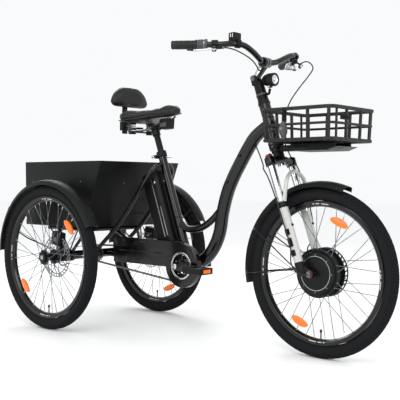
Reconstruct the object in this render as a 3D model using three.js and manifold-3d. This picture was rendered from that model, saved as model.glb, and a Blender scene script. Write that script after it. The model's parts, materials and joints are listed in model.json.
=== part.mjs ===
// Adult tricycle with an electric front hub motor: step-through frame, cargo box between the two
// rear wheels, basket on the head tube, sprung fork, padded saddle with a back rest.
// Millimetres. +X forward, +Z up, +Y to the rider's left. While it is being built, the rear axle
// is at x = 0 and the floor is at z = 0; the last step moves the origin under the middle.
import * as THREE from 'three';
import { mergeVertices } from 'three/addons/utils/BufferGeometryUtils.js';
import { ConvexGeometry } from 'three/addons/geometries/ConvexGeometry.js';
import Module from 'manifold-3d';

const wasm = await Module();
wasm.setup();

// ---------------------------------------------------------------- driving dimensions
const GAP = 0.3; // between pieces that touch
const WHEEL_SIDES = 28;
const WHEELBASE = 1148;
const TRACK = 649;

const WHEEL_RADIUS = 305; // 24 inch wheel with a 50 mm tyre
const TYRE_SECTION = 50;
const RIM_RADIUS = 258;
const RIM_DEPTH = 22;
const RIM_WIDTH = 28;
const SPOKE_RADIUS = 1.3;
const SPOKE_COUNT = 12;
const ROTOR_RADIUS = 90;
const ROTOR_THICKNESS = 2;
const REAR_ROTOR_INSET = 42; // from the wheel's middle plane, towards the frame
const FRONT_ROTOR_INSET = 41;

const MOTOR_RADIUS = 79;
const MOTOR_WIDTH = 70;
const REAR_HUB_RADIUS = 22;
const REAR_FLANGE_RADIUS = 31;
const REAR_HUB_OUT = 36; // from the wheel's middle plane to the hub's outer end
const SHAFT_RADIUS = 10;
const FRONT_AXLE_RADIUS = 6;

const STEER_SLOPE = 0.36; // how far the steering axis leans back per unit of height
const HEAD_TOP = 926;
const HEAD_TOP_X = 889;
const HEAD_BOTTOM = 738;
const HEAD_RADIUS = 22;
const HEAD_BORE = HEAD_RADIUS - 4.5;
const STEERER_RADIUS = 14.3;

const SEAT_SLOPE = 0.372;
const SEAT_FOOT_X = 519;
const SEAT_FOOT_Z = 287;
const SEAT_TUBE_TOP = 752;
const SEATPOST_RADIUS = 13.5;
const SEAT_BORE = SEATPOST_RADIUS + 0.5;
const POST_SIDES = 16;
const SEAT_TUBE_RADIUS = SEATPOST_RADIUS + 3.5;
const SEAT_BORE_FOOT = 470;

const MAIN_TUBE_RADIUS = 26;
const BRACE_RADIUS = 14;

const CRANK_X = 528;
const CRANK_Z = 288;
const CRANK_LENGTH = 165;
const BB_RADIUS = 20;
const BB_HALF = 34;
const SPINDLE_RADIUS = 10;
const CHAIN_LINE = 50;
const CHAIN_PITCH = 12.7;
const RING_TEETH = 36;
const COG_TEETH = 18;
const CHAIN_HEIGHT = 8;
const CHAIN_WIDTH = 7;
const PEDAL_SPREAD = 150;

const AXLE_TUBE_RADIUS = 19;
const AXLE_BORE = 11;
const AXLE_TUBE_END = 262;
const STAY_RADIUS = 9;
const STAY_SPREAD = 70;

const FORK_SPREAD = 65;
const STANCHION_RADIUS = 14;
const LEG_RADIUS = 18;
const CROWN_TOP = 716;
const CROWN_HEIGHT = 30;
const CROWN_BOSS_RADIUS = 20;
const LEG_TOP = 556;
const LEG_BOTTOM = 300;
const FORK_TRAVEL = 50;

const FENDER_RADIUS = 328; // outside
const FENDER_THICKNESS = 3;
const FENDER_HALF_WIDTH = 33;

const BOX_TOP = 712;
const BOX_BOTTOM = 430;
const BOX_TOP_HALF = 235;
const BOX_BOTTOM_HALF = 232;
const BOX_TOP_X = [-293, 228];
const BOX_BOTTOM_X = [-290, 118];
const BOX_WALL = 4;

const BASKET_X = [976, 1284];
const BASKET_HALF = 145;
const BASKET_TOP = 888;
const BASKET_BOTTOM = 768;
const BASKET_RAIL = 13;

const BAR_RADIUS = 11.1;
const GRIP_RADIUS = 16;
const GRIP_LENGTH = 92;
const TWIST_LENGTH = 38;

// ---------------------------------------------------------------- solids
function closed(geometry) {
  const g = geometry.index ? geometry.clone() : geometry;
  for (const name of Object.keys(g.attributes)) if (name !== 'position') g.deleteAttribute(name);
  const merged = mergeVertices(g, 1e-3);
  const index = Array.from(merged.index.array);
  const p = merged.attributes.position;
  const [a, b, c] = [new THREE.Vector3(), new THREE.Vector3(), new THREE.Vector3()];
  const kept = [];
  let volume = 0;
  for (let i = 0; i < index.length; i += 3) {
    const [i0, i1, i2] = index.slice(i, i + 3);
    if (i0 === i1 || i1 === i2 || i2 === i0) continue;
    kept.push(i0, i1, i2);
    a.fromBufferAttribute(p, i0);
    b.fromBufferAttribute(p, i1);
    c.fromBufferAttribute(p, i2);
    volume += a.dot(b.cross(c));
  }
  merged.setIndex(volume < 0 ? kept.reverse() : kept);
  return merged;
}

function solid(geometry) {
  const g = closed(geometry);
  return new wasm.Manifold(new wasm.Mesh({
    numProp: 3,
    vertProperties: new Float32Array(g.attributes.position.array),
    triVerts: new Uint32Array(g.index.array),
  }));
}

function geometryOf(manifold) {
  const mesh = manifold.getMesh();
  const g = new THREE.BufferGeometry();
  g.setAttribute('position', new THREE.BufferAttribute(new Float32Array(mesh.vertProperties), 3));
  g.setIndex(new THREE.BufferAttribute(new Uint32Array(mesh.triVerts), 1));
  return g;
}

function join(...geometries) {
  return geometryOf(geometries.map(solid).reduce((all, one) => all.add(one)));
}

function cut(geometry, ...tools) {
  return geometryOf(tools.map(solid).reduce((all, one) => all.subtract(one), solid(geometry)));
}

const v = (x, y, z) => new THREE.Vector3(x, y, z);

function rod(from, to, radius, sides = 12, endRadius = radius) {
  const along = to.clone().sub(from);
  const g = new THREE.CylinderGeometry(endRadius, radius, along.length(), sides);
  g.applyQuaternion(new THREE.Quaternion().setFromUnitVectors(v(0, 1, 0), along.clone().normalize()));
  const middle = from.clone().add(to).multiplyScalar(0.5);
  return g.translate(middle.x, middle.y, middle.z);
}

function block(from, to) {
  const size = to.clone().sub(from);
  const middle = from.clone().add(to).multiplyScalar(0.5);
  return new THREE.BoxGeometry(size.x, size.y, size.z).translate(middle.x, middle.y, middle.z);
}

function hull(points) {
  return new ConvexGeometry(points);
}

// A round tube along points; the curve passes through each of them.
function tube(points, radius, sides = 12, steps = 24) {
  const section = new THREE.Shape();
  for (let k = 0; k <= sides; k += 1) {
    const t = (2 * Math.PI * k) / sides;
    section[k ? 'lineTo' : 'moveTo'](radius * Math.cos(t), radius * Math.sin(t));
  }
  const path = new THREE.CatmullRomCurve3(points, false, 'centripetal');
  return new THREE.ExtrudeGeometry(section, { steps, bevelEnabled: false, extrudePath: path });
}

// A body of revolution about an axis along Y through (x, z); profile is [radius, y] pairs. It
// stands on a flat, and its flats, not its edges, are at the profile's radius.
function turned(profile, x, z, segments = 32) {
  const grow = 1 / Math.cos(Math.PI / segments);
  const points = profile.map(([r, y]) => new THREE.Vector2(r * grow, y));
  return new THREE.LatheGeometry(points, segments).rotateY(Math.PI / segments).translate(x, 0, z);
}

function ring(inner, outer, y0, y1, x, z, segments = 32) {
  return turned([[inner, y0], [outer, y0], [outer, y1], [inner, y1], [inner, y0]], x, z, segments);
}

function disc(radius, y0, y1, x, z, sides = 24) {
  return rod(v(x, y0, z), v(x, y1, z), radius, sides);
}

// An outline in the x-z plane given a thickness along y.
function plate(shape, y0, y1, segments = 10) {
  const g = new THREE.ExtrudeGeometry(shape, {
    depth: y1 - y0, bevelEnabled: false, curveSegments: segments,
  });
  return g.applyMatrix4(new THREE.Matrix4().makeRotationX(Math.PI / 2)).translate(0, y1, 0);
}

class WheelArc extends THREE.Curve {
  constructor(x, y, z, radius, start, end) {
    super();
    Object.assign(this, { x, y, z, radius, start, end });
  }

  getPoint(t, target = new THREE.Vector3()) {
    const angle = THREE.MathUtils.degToRad(this.start + (this.end - this.start) * t);
    return target.set(this.x + this.radius * Math.cos(angle), this.y,
      this.z + this.radius * Math.sin(angle));
  }
}

// ---------------------------------------------------------------- materials and pieces
const FINISH = {
  gloss_black: ['#0c0d0e', 0.25, 0.2],
  satin_black: ['#161718', 0.5, 0.1],
  black_plastic: ['#1b1c1d', 0.55, 0],
  basket_grey: ['#3a3836', 0.6, 0],
  tyre: ['#26272a', 0.9, 0],
  silver: ['#b9bcbe', 0.35, 0.9],
  steel: ['#8f9294', 0.4, 0.9],
  fork_white: ['#e6e6e3', 0.35, 0],
  red: ['#a3262c', 0.4, 0.6],
  grey: ['#55565a', 0.5, 0.2],
  rubber: ['#1d1d1f', 0.85, 0],
  leather: ['#1e1e20', 0.6, 0],
  amber: ['#f08a12', 0.25, 0],
  lens: ['#d8dde0', 0.1, 0],
  red_lens: ['#8f1418', 0.25, 0],
};
const material = {};
for (const [name, [color, roughness, metalness]] of Object.entries(FINISH)) {
  material[name] = new THREE.MeshStandardMaterial({ name, color, roughness, metalness });
}

const tricycle = new THREE.Group();

function add(name, finish, geometry) {
  const mesh = new THREE.Mesh(closed(geometry), material[finish]);
  mesh.name = name;
  tricycle.add(mesh);
  return mesh;
}

// ---------------------------------------------------------------- shared places
const seatX = (z) => SEAT_FOOT_X - SEAT_SLOPE * (z - SEAT_FOOT_Z);
const seatAt = (z, y = 0) => v(seatX(z), y, z);
const seatUp = v(-SEAT_SLOPE, 0, 1).normalize();
const seatBack = v(-seatUp.z, 0, seatUp.x);
const steerX = (z) => HEAD_TOP_X + STEER_SLOPE * (HEAD_TOP - z);
const steerAt = (z, y = 0) => v(steerX(z), y, z);
const steerUp = v(-STEER_SLOPE, 0, 1).normalize();
const steerFront = v(steerUp.z, 0, -steerUp.x);
const off = (point, direction, distance) => point.clone().addScaledVector(direction, distance);
const pitchRadius = (teeth) => CHAIN_PITCH / (2 * Math.sin(Math.PI / teeth));
const ringRadius = pitchRadius(RING_TEETH);
const cogRadius = pitchRadius(COG_TEETH);

// ---------------------------------------------------------------- wheels
function tyre(x, y) {
  const half = TYRE_SECTION / 2;
  const middle = WHEEL_RADIUS - half;
  const bead = Math.acos((RIM_RADIUS + GAP - middle) / half);
  const profile = [];
  const points = 8;
  for (let k = 0; k <= points; k += 1) {
    const angle = -bead + (2 * bead * k) / points;
    profile.push([middle + half * Math.cos(angle), half * Math.sin(angle)]);
  }
  profile.push(profile[0]);
  return turned(profile, x, WHEEL_RADIUS, WHEEL_SIDES).translate(0, y, 0);
}

// Rim, spokes and the two flange rings they hook into; flanges are at y0 and y1 from the middle.
function lacedRim(x, y, flangeRadius, flangeBore, y0, y1) {
  const inner = RIM_RADIUS - RIM_DEPTH;
  const half = RIM_WIDTH / 2;
  const nose = half * 0.6;
  const z = WHEEL_RADIUS;
  const rim = turned([[RIM_RADIUS, -half], [RIM_RADIUS, half], [inner, nose], [inner, -nose],
    [RIM_RADIUS, -half]], x, z, WHEEL_SIDES).translate(0, y, 0);
  const pieces = [rim];
  for (const place of [y0, y1]) {
    pieces.push(ring(flangeBore, flangeRadius, y + place - 1.5, y + place + 1.5, x, z, 12));
  }
  for (let k = 0; k < SPOKE_COUNT; k += 1) {
    const side = k % 2 ? y1 : y0;
    const angle = (2 * Math.PI * (k + 0.5)) / SPOKE_COUNT;
    const lead = angle + (k % 4 < 2 ? 0.5 : -0.5);
    const root = flangeRadius - 4;
    const from = v(x + root * Math.cos(lead), y + side, z + root * Math.sin(lead));
    const tip = inner + 3;
    const to = v(x + tip * Math.cos(angle), y + 0.15 * side, z + tip * Math.sin(angle));
    pieces.push(rod(from, to, SPOKE_RADIUS, 3));
  }
  return join(...pieces);
}

function rotor(bore, y, x) {
  return ring(bore, ROTOR_RADIUS, y - ROTOR_THICKNESS / 2, y + ROTOR_THICKNESS / 2, x,
    WHEEL_RADIUS, 20);
}

const REAR_FLANGE_IN = 27;
const REAR_FLANGE_OUT = 24;
for (const [name, side] of [['right', -1], ['left', 1]]) {
  const y = (side * TRACK) / 2;
  const z = WHEEL_RADIUS;
  add(`rear_tyre_${name}`, 'tyre', tyre(0, y));
  add(`rear_rim_${name}`, 'gloss_black',
    lacedRim(0, y, REAR_FLANGE_RADIUS, REAR_HUB_RADIUS + 1, -side * REAR_FLANGE_IN,
      side * REAR_FLANGE_OUT));
  const rotorY = y - side * REAR_ROTOR_INSET;
  const shaftEnd = side < 0 ? -CHAIN_LINE + 8 : 20;
  const hub = join(
    disc(REAR_HUB_RADIUS, rotorY - side * 12, y + side * REAR_HUB_OUT, 0, z, 16),
    disc(SHAFT_RADIUS, shaftEnd, y, 0, z, 10),
  );
  add(`rear_hub_${name}`, 'satin_black', join(hub, rotor(REAR_HUB_RADIUS - 3, rotorY, 0)));
}

const motorHalf = MOTOR_WIDTH / 2;
add('front_tyre', 'tyre', tyre(WHEELBASE, 0));
add('front_rim', 'gloss_black',
  lacedRim(WHEELBASE, 0, MOTOR_RADIUS + 10, MOTOR_RADIUS + 3, -22, 22));
add('motor_hub', 'satin_black', turned([
  [FRONT_AXLE_RADIUS + GAP + 0.2, -motorHalf - 3], [55, -motorHalf - 3], [58, -motorHalf],
  [MOTOR_RADIUS - 6, -motorHalf + 2], [MOTOR_RADIUS, -motorHalf + 10],
  [MOTOR_RADIUS, motorHalf - 10], [MOTOR_RADIUS - 6, motorHalf - 2], [24, motorHalf],
  [24, FRONT_ROTOR_INSET + 4], [FRONT_AXLE_RADIUS + GAP + 0.2, FRONT_ROTOR_INSET + 4],
  [FRONT_AXLE_RADIUS + GAP + 0.2, -motorHalf - 3],
], WHEELBASE, WHEEL_RADIUS, 20));
add('front_rotor', 'silver', rotor(24 + GAP, FRONT_ROTOR_INSET, WHEELBASE));

// ---------------------------------------------------------------- frame
const BATTERY_TOP = 690;
const BATTERY_FOOT = 386;
const BATTERY_DEPTH = 92;
const BATTERY_HALF = 40;
const RAIL_DEPTH = 12;
function alongSeat(z0, z1, near, deep, halfWidth) {
  const points = [];
  for (const z of [z0, z1]) {
    for (const y of [-halfWidth, halfWidth]) {
      points.push(off(seatAt(z, y), seatBack, near), off(seatAt(z, y), seatBack, near + deep));
    }
  }
  return hull(points);
}
const railNear = SEAT_TUBE_RADIUS - 2;
function frontFrame() {
  const headTube = rod(steerAt(HEAD_BOTTOM), steerAt(HEAD_TOP), HEAD_RADIUS, 14);
  const headBore = rod(steerAt(HEAD_BOTTOM - 5), steerAt(HEAD_TOP + 5), HEAD_BORE, 12);
  const mainTube = tube([steerAt(846), v(850, 0, 800), v(820, 0, 762), v(778, 0, 700),
    v(745, 0, 648), v(716, 0, 590), v(691, 0, 509), v(676, 0, 430), v(652, 0, 375),
    v(612, 0, 326), v(565, 0, 298), v(CRANK_X + 6, 0, CRANK_Z + 2)], MAIN_TUBE_RADIUS, 10, 14);
  const brace = tube([seatAt(458), v(490, 0, 437), v(520, 0, 432), v(566, 0, 438),
    v(609, 0, 457), v(648, 0, 486), v(692, 0, 530)], BRACE_RADIUS, 8, 9);
  const seatTube = rod(seatAt(CRANK_Z), seatAt(SEAT_TUBE_TOP), SEAT_TUBE_RADIUS, 14);
  const shell = disc(BB_RADIUS, -BB_HALF, BB_HALF, CRANK_X, CRANK_Z, 14);
  const rail = alongSeat(BATTERY_FOOT + 12, BATTERY_TOP - 60, railNear, RAIL_DEPTH + 2, 16);
  return cut(join(headTube, mainTube, brace, seatTube, shell, rail), headBore,
    rod(seatAt(SEAT_BORE_FOOT), seatAt(SEAT_TUBE_TOP + 10), SEAT_BORE, POST_SIDES),
    disc(SPINDLE_RADIUS + GAP + 0.2, -BB_HALF - 5, BB_HALF + 5, CRANK_X, CRANK_Z, 12));
}

function rearFrame() {
  const z = WHEEL_RADIUS;
  const cogRoom = 12; // between the axle tubes and the chain line
  const rightEnd = -CHAIN_LINE - cogRoom;
  const leftEnd = -CHAIN_LINE + cogRoom;
  const bridgeX = -62;
  const bridgeY = 84;
  const pieces = [
    disc(AXLE_TUBE_RADIUS, -AXLE_TUBE_END, rightEnd, 0, z, 14),
    disc(AXLE_TUBE_RADIUS, leftEnd, AXLE_TUBE_END, 0, z, 14),
    rod(v(bridgeX, -bridgeY, z), v(bridgeX, bridgeY, z), STAY_RADIUS, 8),
  ];
  for (const side of [-1, 1]) {
    const y = side * STAY_SPREAD;
    pieces.push(
      block(v(bridgeX, side * bridgeY - 8, z - 9), v(0, side * bridgeY + 8, z + 9)),
      disc(AXLE_TUBE_RADIUS + 5, side * (AXLE_TUBE_END - 22), side * AXLE_TUBE_END, 0, z, 14),
      rod(v(0, side * 26, z), v(CRANK_X, side * 22, CRANK_Z), STAY_RADIUS + 1, 8),
    );
    pieces.push(tube([v(2, y, z + 6), v(180, y, 462), v(325, y, 636), v(350, y * 0.9, 668),
      v(362, y * 0.55, 694), v(seatX(706) - 4, 0, 706)], STAY_RADIUS, 6, 9));
  }
  const cleared = [
    rod(seatAt(600), seatAt(SEAT_TUBE_TOP), SEAT_TUBE_RADIUS + GAP + 0.2, 14),
    rod(seatAt(SEAT_FOOT_Z - 20), seatAt(420), SEAT_TUBE_RADIUS + GAP + 0.2, 14),
    disc(BB_RADIUS + GAP + 0.2, -60, 60, CRANK_X, CRANK_Z, 14),
    rod(v(0, -AXLE_TUBE_END - 5, z), v(0, AXLE_TUBE_END + 5, z), AXLE_BORE, 10),
  ];
  return cut(join(...pieces), ...cleared);
}

add('front_frame', 'gloss_black', frontFrame());
add('rear_frame', 'gloss_black', rearFrame());

// ---------------------------------------------------------------- seat clamp and its lever
const CLAMP_HEIGHT = 24;
const CLAMP_RADIUS = SEAT_TUBE_RADIUS + 4.5;
const clampAt = seatAt(SEAT_TUBE_TOP - 10);
const clampBack = 28; // from the tube's axis to the skewer
const clampEar = off(clampAt, seatBack, clampBack);
function seatClamp() {
  const band = rod(off(clampAt, seatUp, -CLAMP_HEIGHT / 2), off(clampAt, seatUp, CLAMP_HEIGHT / 2),
    CLAMP_RADIUS, 14);
  const ears = rod(v(clampEar.x, -13, clampEar.z), v(clampEar.x, 13, clampEar.z), 8, 12);
  const neck = rod(off(clampAt, seatBack, 15), clampEar, 6, 8);
  const skewer = rod(v(clampEar.x, -27, clampEar.z), v(clampEar.x, 20, clampEar.z), 4, 10);
  const nut = rod(v(clampEar.x, -30, clampEar.z), v(clampEar.x, -22, clampEar.z), 7.5, 10);
  return cut(join(band, ears, neck, skewer, nut),
    rod(off(clampAt, seatUp, -30), off(clampAt, seatUp, 30), SEAT_TUBE_RADIUS + GAP, 14));
}
add('seat_clamp', 'satin_black', seatClamp());

const leverPivot = v(clampEar.x, 28, clampEar.z);
function seatLever() {
  const cam = rod(off(leverPivot, seatUp, -7), off(leverPivot, seatUp, 7), 7, 14);
  const blade = tube([leverPivot, off(v(leverPivot.x + 22, 33, leverPivot.z), seatUp, 0),
    v(leverPivot.x + 48, 27, leverPivot.z - 2), v(leverPivot.x + 66, 15, leverPivot.z - 3)],
  4, 8, 8);
  return join(cam, blade);
}
add('seat_lever', 'silver', seatLever());

// ---------------------------------------------------------------- battery behind the seat tube
const packNear = SEAT_TUBE_RADIUS + RAIL_DEPTH + GAP;
function batteryPack() {
  const bevel = 12;
  const points = [];
  for (const [z, inset] of [[BATTERY_FOOT, 6], [BATTERY_FOOT + 10, 0], [BATTERY_TOP - 14, 0],
    [BATTERY_TOP, 8]]) {
    for (const side of [-1, 1]) {
      const y = side * (BATTERY_HALF - inset);
      points.push(
        off(seatAt(z, y), seatBack, packNear + bevel),
        off(seatAt(z, y), seatBack, packNear + BATTERY_DEPTH - bevel - inset),
        off(seatAt(z, y - side * bevel), seatBack, packNear),
        off(seatAt(z, y - side * bevel), seatBack, packNear + BATTERY_DEPTH - inset),
      );
    }
  }
  return hull(points);
}
add('battery', 'black_plastic', batteryPack());

// ---------------------------------------------------------------- cranks, chain and case
function crankset() {
  const y = CHAIN_LINE;
  const armY = 92;
  const pieces = [
    disc(SPINDLE_RADIUS, -armY - 8, armY + 8, CRANK_X, CRANK_Z, 12),
    disc(ringRadius - 4.6, -y - 2, -y + 2, CRANK_X, CRANK_Z, 28),
    disc(26, -y - 6, -y + 2, CRANK_X, CRANK_Z, 14),
  ];
  for (const side of [-1, 1]) {
    const reach = -side * CRANK_LENGTH;
    const pedalX = CRANK_X + reach;
    pieces.push(
      hull([-1, 1].flatMap((h) => [0, 12].flatMap((d) => [
        v(CRANK_X - Math.sign(reach) * 14, side * (armY + d), CRANK_Z + h * 15),
        v(pedalX + Math.sign(reach) * 10, side * (armY + 4 + d), CRANK_Z + h * 10)]))),
      disc(13, side * (armY + 3), side * (armY + 17), pedalX, CRANK_Z, 10),
      disc(4.5, side * (armY + 10), side * (PEDAL_SPREAD + 30), pedalX, CRANK_Z, 8),
    );
  }
  return join(...pieces);
}
add('crankset', 'gloss_black', crankset());

const PEDAL_LENGTH = 96;
const PEDAL_HALF_WIDTH = 36;
const PEDAL_THICKNESS = 24;
for (const [name, side] of [['right', -1], ['left', 1]]) {
  const x = CRANK_X - side * CRANK_LENGTH;
  const half = PEDAL_LENGTH / 2;
  const body = block(v(x - half, side * PEDAL_SPREAD - PEDAL_HALF_WIDTH, CRANK_Z - PEDAL_THICKNESS / 2),
    v(x + half, side * PEDAL_SPREAD + PEDAL_HALF_WIDTH, CRANK_Z + PEDAL_THICKNESS / 2));
  const window = (from, to) => block(
    v(x + from, side * PEDAL_SPREAD - PEDAL_HALF_WIDTH + 10, CRANK_Z - 20),
    v(x + to, side * PEDAL_SPREAD + PEDAL_HALF_WIDTH - 10, CRANK_Z + 20));
  const axleEnd = side * (PEDAL_SPREAD + 31);
  add(`pedal_${name}`, 'black_plastic', cut(body, window(-half + 12, -12), window(12, half - 12),
    disc(5, side * (PEDAL_SPREAD - PEDAL_HALF_WIDTH - 5), axleEnd, x, CRANK_Z, 12)));
}

add('axle_sprocket', 'steel', ring(SHAFT_RADIUS + GAP, cogRadius - 5.6, -CHAIN_LINE - 2,
  -CHAIN_LINE + 2, 0, WHEEL_RADIUS, 16));

// The loop that wraps two circles, as an outline in the x-z plane.
function loopOutline(grow) {
  const [r0, r1] = [cogRadius + grow, ringRadius + grow];
  const along = Math.atan2(CRANK_Z - WHEEL_RADIUS, CRANK_X);
  const distance = Math.hypot(CRANK_X, CRANK_Z - WHEEL_RADIUS);
  const lean = Math.acos((r1 - r0) / distance);
  const shape = new THREE.Shape();
  shape.absarc(0, WHEEL_RADIUS, r0, along + Math.PI - lean, along + Math.PI + lean, false);
  shape.absarc(CRANK_X, CRANK_Z, r1, along - Math.PI + lean, along + Math.PI - lean, false);
  shape.closePath();
  return shape;
}
function chain() {
  const y0 = -CHAIN_LINE - CHAIN_WIDTH / 2;
  const y1 = -CHAIN_LINE + CHAIN_WIDTH / 2;
  return cut(plate(loopOutline(CHAIN_HEIGHT / 2), y0, y1, 12),
    plate(loopOutline(-CHAIN_HEIGHT / 2), y0 - 5, y1 + 5, 12));
}
add('chain', 'steel', chain());

const CASE_FRONT_RADIUS = 89;
const CASE_TOP = 386;
const CASE_REAR = 122;
const CASE_OUTER_Y = -67;
const CASE_INNER_Y = -42;
const CASE_WALL = 2.5;
const CASE_HOLE = 48;
function caseOutline(inset) {
  const shape = new THREE.Shape();
  const radius = CASE_FRONT_RADIUS - inset;
  const foot = 278 + inset;
  const turn = Math.asin((foot - CRANK_Z) / radius);
  shape.moveTo(CASE_REAR + inset, foot);
  shape.lineTo(CRANK_X - radius * Math.cos(turn), foot);
  shape.absarc(CRANK_X, CRANK_Z, radius, Math.PI - turn, 2.35 * Math.PI, false);
  shape.lineTo(CRANK_X - 70, CASE_TOP - inset);
  shape.lineTo(CASE_REAR + 16, CASE_TOP - inset);
  shape.lineTo(CASE_REAR + inset, CASE_TOP - 16);
  return shape;
}
function chainCase() {
  const shell = plate(caseOutline(0), CASE_OUTER_Y, CASE_INNER_Y, 10);
  const inside = plate(caseOutline(CASE_WALL), CASE_OUTER_Y + CASE_WALL, CASE_INNER_Y + 5, 10);
  const crankHole = disc(CASE_HOLE, CASE_OUTER_Y - 5, CASE_INNER_Y, CRANK_X, CRANK_Z, 16);
  const chainTop = block(v(CASE_REAR - 5, -CHAIN_LINE - 8, 322), v(CASE_REAR + 30, 0, 372));
  const chainFoot = block(v(CRANK_X - 110, -CHAIN_LINE - 8, 200), v(CRANK_X - 30, 0, 266));
  return cut(shell, inside, crankHole, chainTop, chainFoot);
}
add('chain_case', 'gloss_black', chainCase());

// ---------------------------------------------------------------- rear brakes, fenders, lamps
// A brake caliper body around a rotor at y; faces gives its two sides, as distances from the rotor.
function caliperBody(x, y, z, halfX, halfZ, faces) {
  return hull(faces.flatMap((face) => [
    v(x - halfX, y + face, z - halfZ + 12), v(x - halfX + 12, y + face, z + halfZ),
    v(x + halfX, y + face, z + halfZ - 10), v(x + halfX - 6, y + face, z - halfZ)]));
}
function rotorSlot(y, x, z) {
  const half = ROTOR_THICKNESS / 2 + 0.8;
  return disc(ROTOR_RADIUS + 3, y - half, y + half, x, z, 32);
}
for (const [name, side] of [['right', -1], ['left', 1]]) {
  const y = side * (TRACK / 2 - REAR_ROTOR_INSET);
  const body = caliperBody(4, y, WHEEL_RADIUS + 76, 34, 34, [side * 9, -side * 21]);
  const tabY = [y - side * 20, y - side * 12].sort((a, b) => a - b);
  const tab = block(v(-10, tabY[0], WHEEL_RADIUS + 12), v(22, tabY[1], WHEEL_RADIUS + 84));
  add(`rear_caliper_${name}`, 'satin_black', cut(join(body, tab), rotorSlot(y, 0, WHEEL_RADIUS),
    disc(AXLE_TUBE_RADIUS + 5 + GAP, y - 60, y + 60, 0, WHEEL_RADIUS, 24)));
}

// A fender shell over a wheel: crowned section swept along an arc.
function fenderShell(x, y, start, end, steps) {
  const section = new THREE.Shape();
  const crown = 9;
  const count = 2;
  const points = [];
  for (let k = -count; k <= count; k += 1) {
    const t = k / count;
    points.push([FENDER_HALF_WIDTH * t, crown * t * t + (Math.abs(k) === count ? 5 : 0)]);
  }
  points.forEach(([w, h], k) => section[k ? 'lineTo' : 'moveTo'](w, h));
  points.reverse().forEach(([w, h]) => section.lineTo(w * 0.93, h + FENDER_THICKNESS));
  const path = new WheelArc(x, y, WHEEL_RADIUS, FENDER_RADIUS, start, end);
  return new THREE.ExtrudeGeometry(section, { steps, bevelEnabled: false, extrudePath: path });
}
const onWheel = (x, y, radius, degrees) => {
  const angle = THREE.MathUtils.degToRad(degrees);
  return v(x + radius * Math.cos(angle), y, WHEEL_RADIUS + radius * Math.sin(angle));
};
const FENDER_CLAMP_Y = 228;
const STAY_WIRE = 3;
for (const [name, side] of [['right', -1], ['left', 1]]) {
  const y = (side * TRACK) / 2;
  const inner = y - side * (FENDER_HALF_WIDTH - 2);
  const clampY = side * FENDER_CLAMP_Y;
  const pieces = [fenderShell(0, y, 178, 26, 12),
    disc(AXLE_TUBE_RADIUS + 6, clampY - 6, clampY + 6, 0, WHEEL_RADIUS, 14)];
  for (const angle of [38, 116, 160]) {
    const elbow = onWheel(0, inner, 200, angle);
    pieces.push(rod(onWheel(0, clampY, AXLE_TUBE_RADIUS + 3, angle), elbow, STAY_WIRE, 5),
      rod(onWheel(0, inner, 196, angle), onWheel(0, inner, FENDER_RADIUS - 12, angle),
        STAY_WIRE + 0.5, 5));
  }
  add(`rear_fender_${name}`, 'satin_black', cut(join(...pieces),
    disc(AXLE_TUBE_RADIUS + GAP, clampY - 20, clampY + 20, 0, WHEEL_RADIUS, 14)));
  const lampAngle = 146;
  const base = onWheel(0, y, FENDER_RADIUS + GAP, lampAngle);
  const out = onWheel(0, 0, 1, lampAngle).sub(v(0, 0, WHEEL_RADIUS));
  const tangent = v(-out.z, 0, out.x);
  const corner = (t, w, h) => off(off(v(base.x, y + w, base.z), tangent, t), out, h);
  add(`tail_light_${name}`, 'red_lens', hull([-1, 1].flatMap((w) => [
    corner(-24, w * 14, 1.2), corner(24, w * 14, 1.2), corner(-16, w * 11, 20),
    corner(20, w * 11, 14)])));
}

// ---------------------------------------------------------------- cargo rack and box
const RACK_Z = 416;
const RACK_HALF = 150;
const RACK_X = [-215, 45];
const RACK_RADIUS = 9;
function cargoRack() {
  const z = RACK_Z;
  const strutY = 205;
  const pieces = [];
  for (const side of [-1, 1]) {
    pieces.push(
      rod(v(RACK_X[0] - 6, side * RACK_HALF, z), v(RACK_X[1] + 6, side * RACK_HALF, z), RACK_RADIUS, 8),
      disc(AXLE_TUBE_RADIUS + 6, side * strutY - 9, side * strutY + 9, 0, WHEEL_RADIUS, 14),
      rod(v(RACK_X[0] + 60, side * RACK_HALF, z), v(-12, side * strutY, WHEEL_RADIUS + 18), 7, 6),
      rod(v(RACK_X[1] - 5, side * RACK_HALF, z), v(12, side * strutY, WHEEL_RADIUS + 18), 7, 6),
    );
  }
  for (const x of [RACK_X[0], -85, RACK_X[1]]) {
    pieces.push(rod(v(x, -RACK_HALF, z), v(x, RACK_HALF, z), RACK_RADIUS, 8));
  }
  return cut(join(...pieces),
    disc(AXLE_TUBE_RADIUS + GAP, -strutY - 30, -strutY + 30, 0, WHEEL_RADIUS, 14),
    disc(AXLE_TUBE_RADIUS + GAP, strutY - 30, strutY + 30, 0, WHEEL_RADIUS, 14));
}
add('cargo_rack', 'gloss_black', cargoRack());

function frustum(wall, top, bottom) {
  const points = [];
  const slope = (z) => (z - BOX_BOTTOM) / (BOX_TOP - BOX_BOTTOM);
  const mix = (low, high, z) => low + (high - low) * slope(z);
  for (const z of [bottom, top]) {
    for (const side of [-1, 1]) {
      const y = side * (mix(BOX_BOTTOM_HALF, BOX_TOP_HALF, z) - wall);
      points.push(v(mix(BOX_BOTTOM_X[0], BOX_TOP_X[0], z) + wall, y, z),
        v(mix(BOX_BOTTOM_X[1], BOX_TOP_X[1], z) - wall, y, z));
    }
  }
  return hull(points);
}
add('cargo_box', 'satin_black', cut(frustum(0, BOX_TOP, BOX_BOTTOM),
  frustum(BOX_WALL, BOX_TOP + 10, BOX_BOTTOM + BOX_WALL)));

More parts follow.
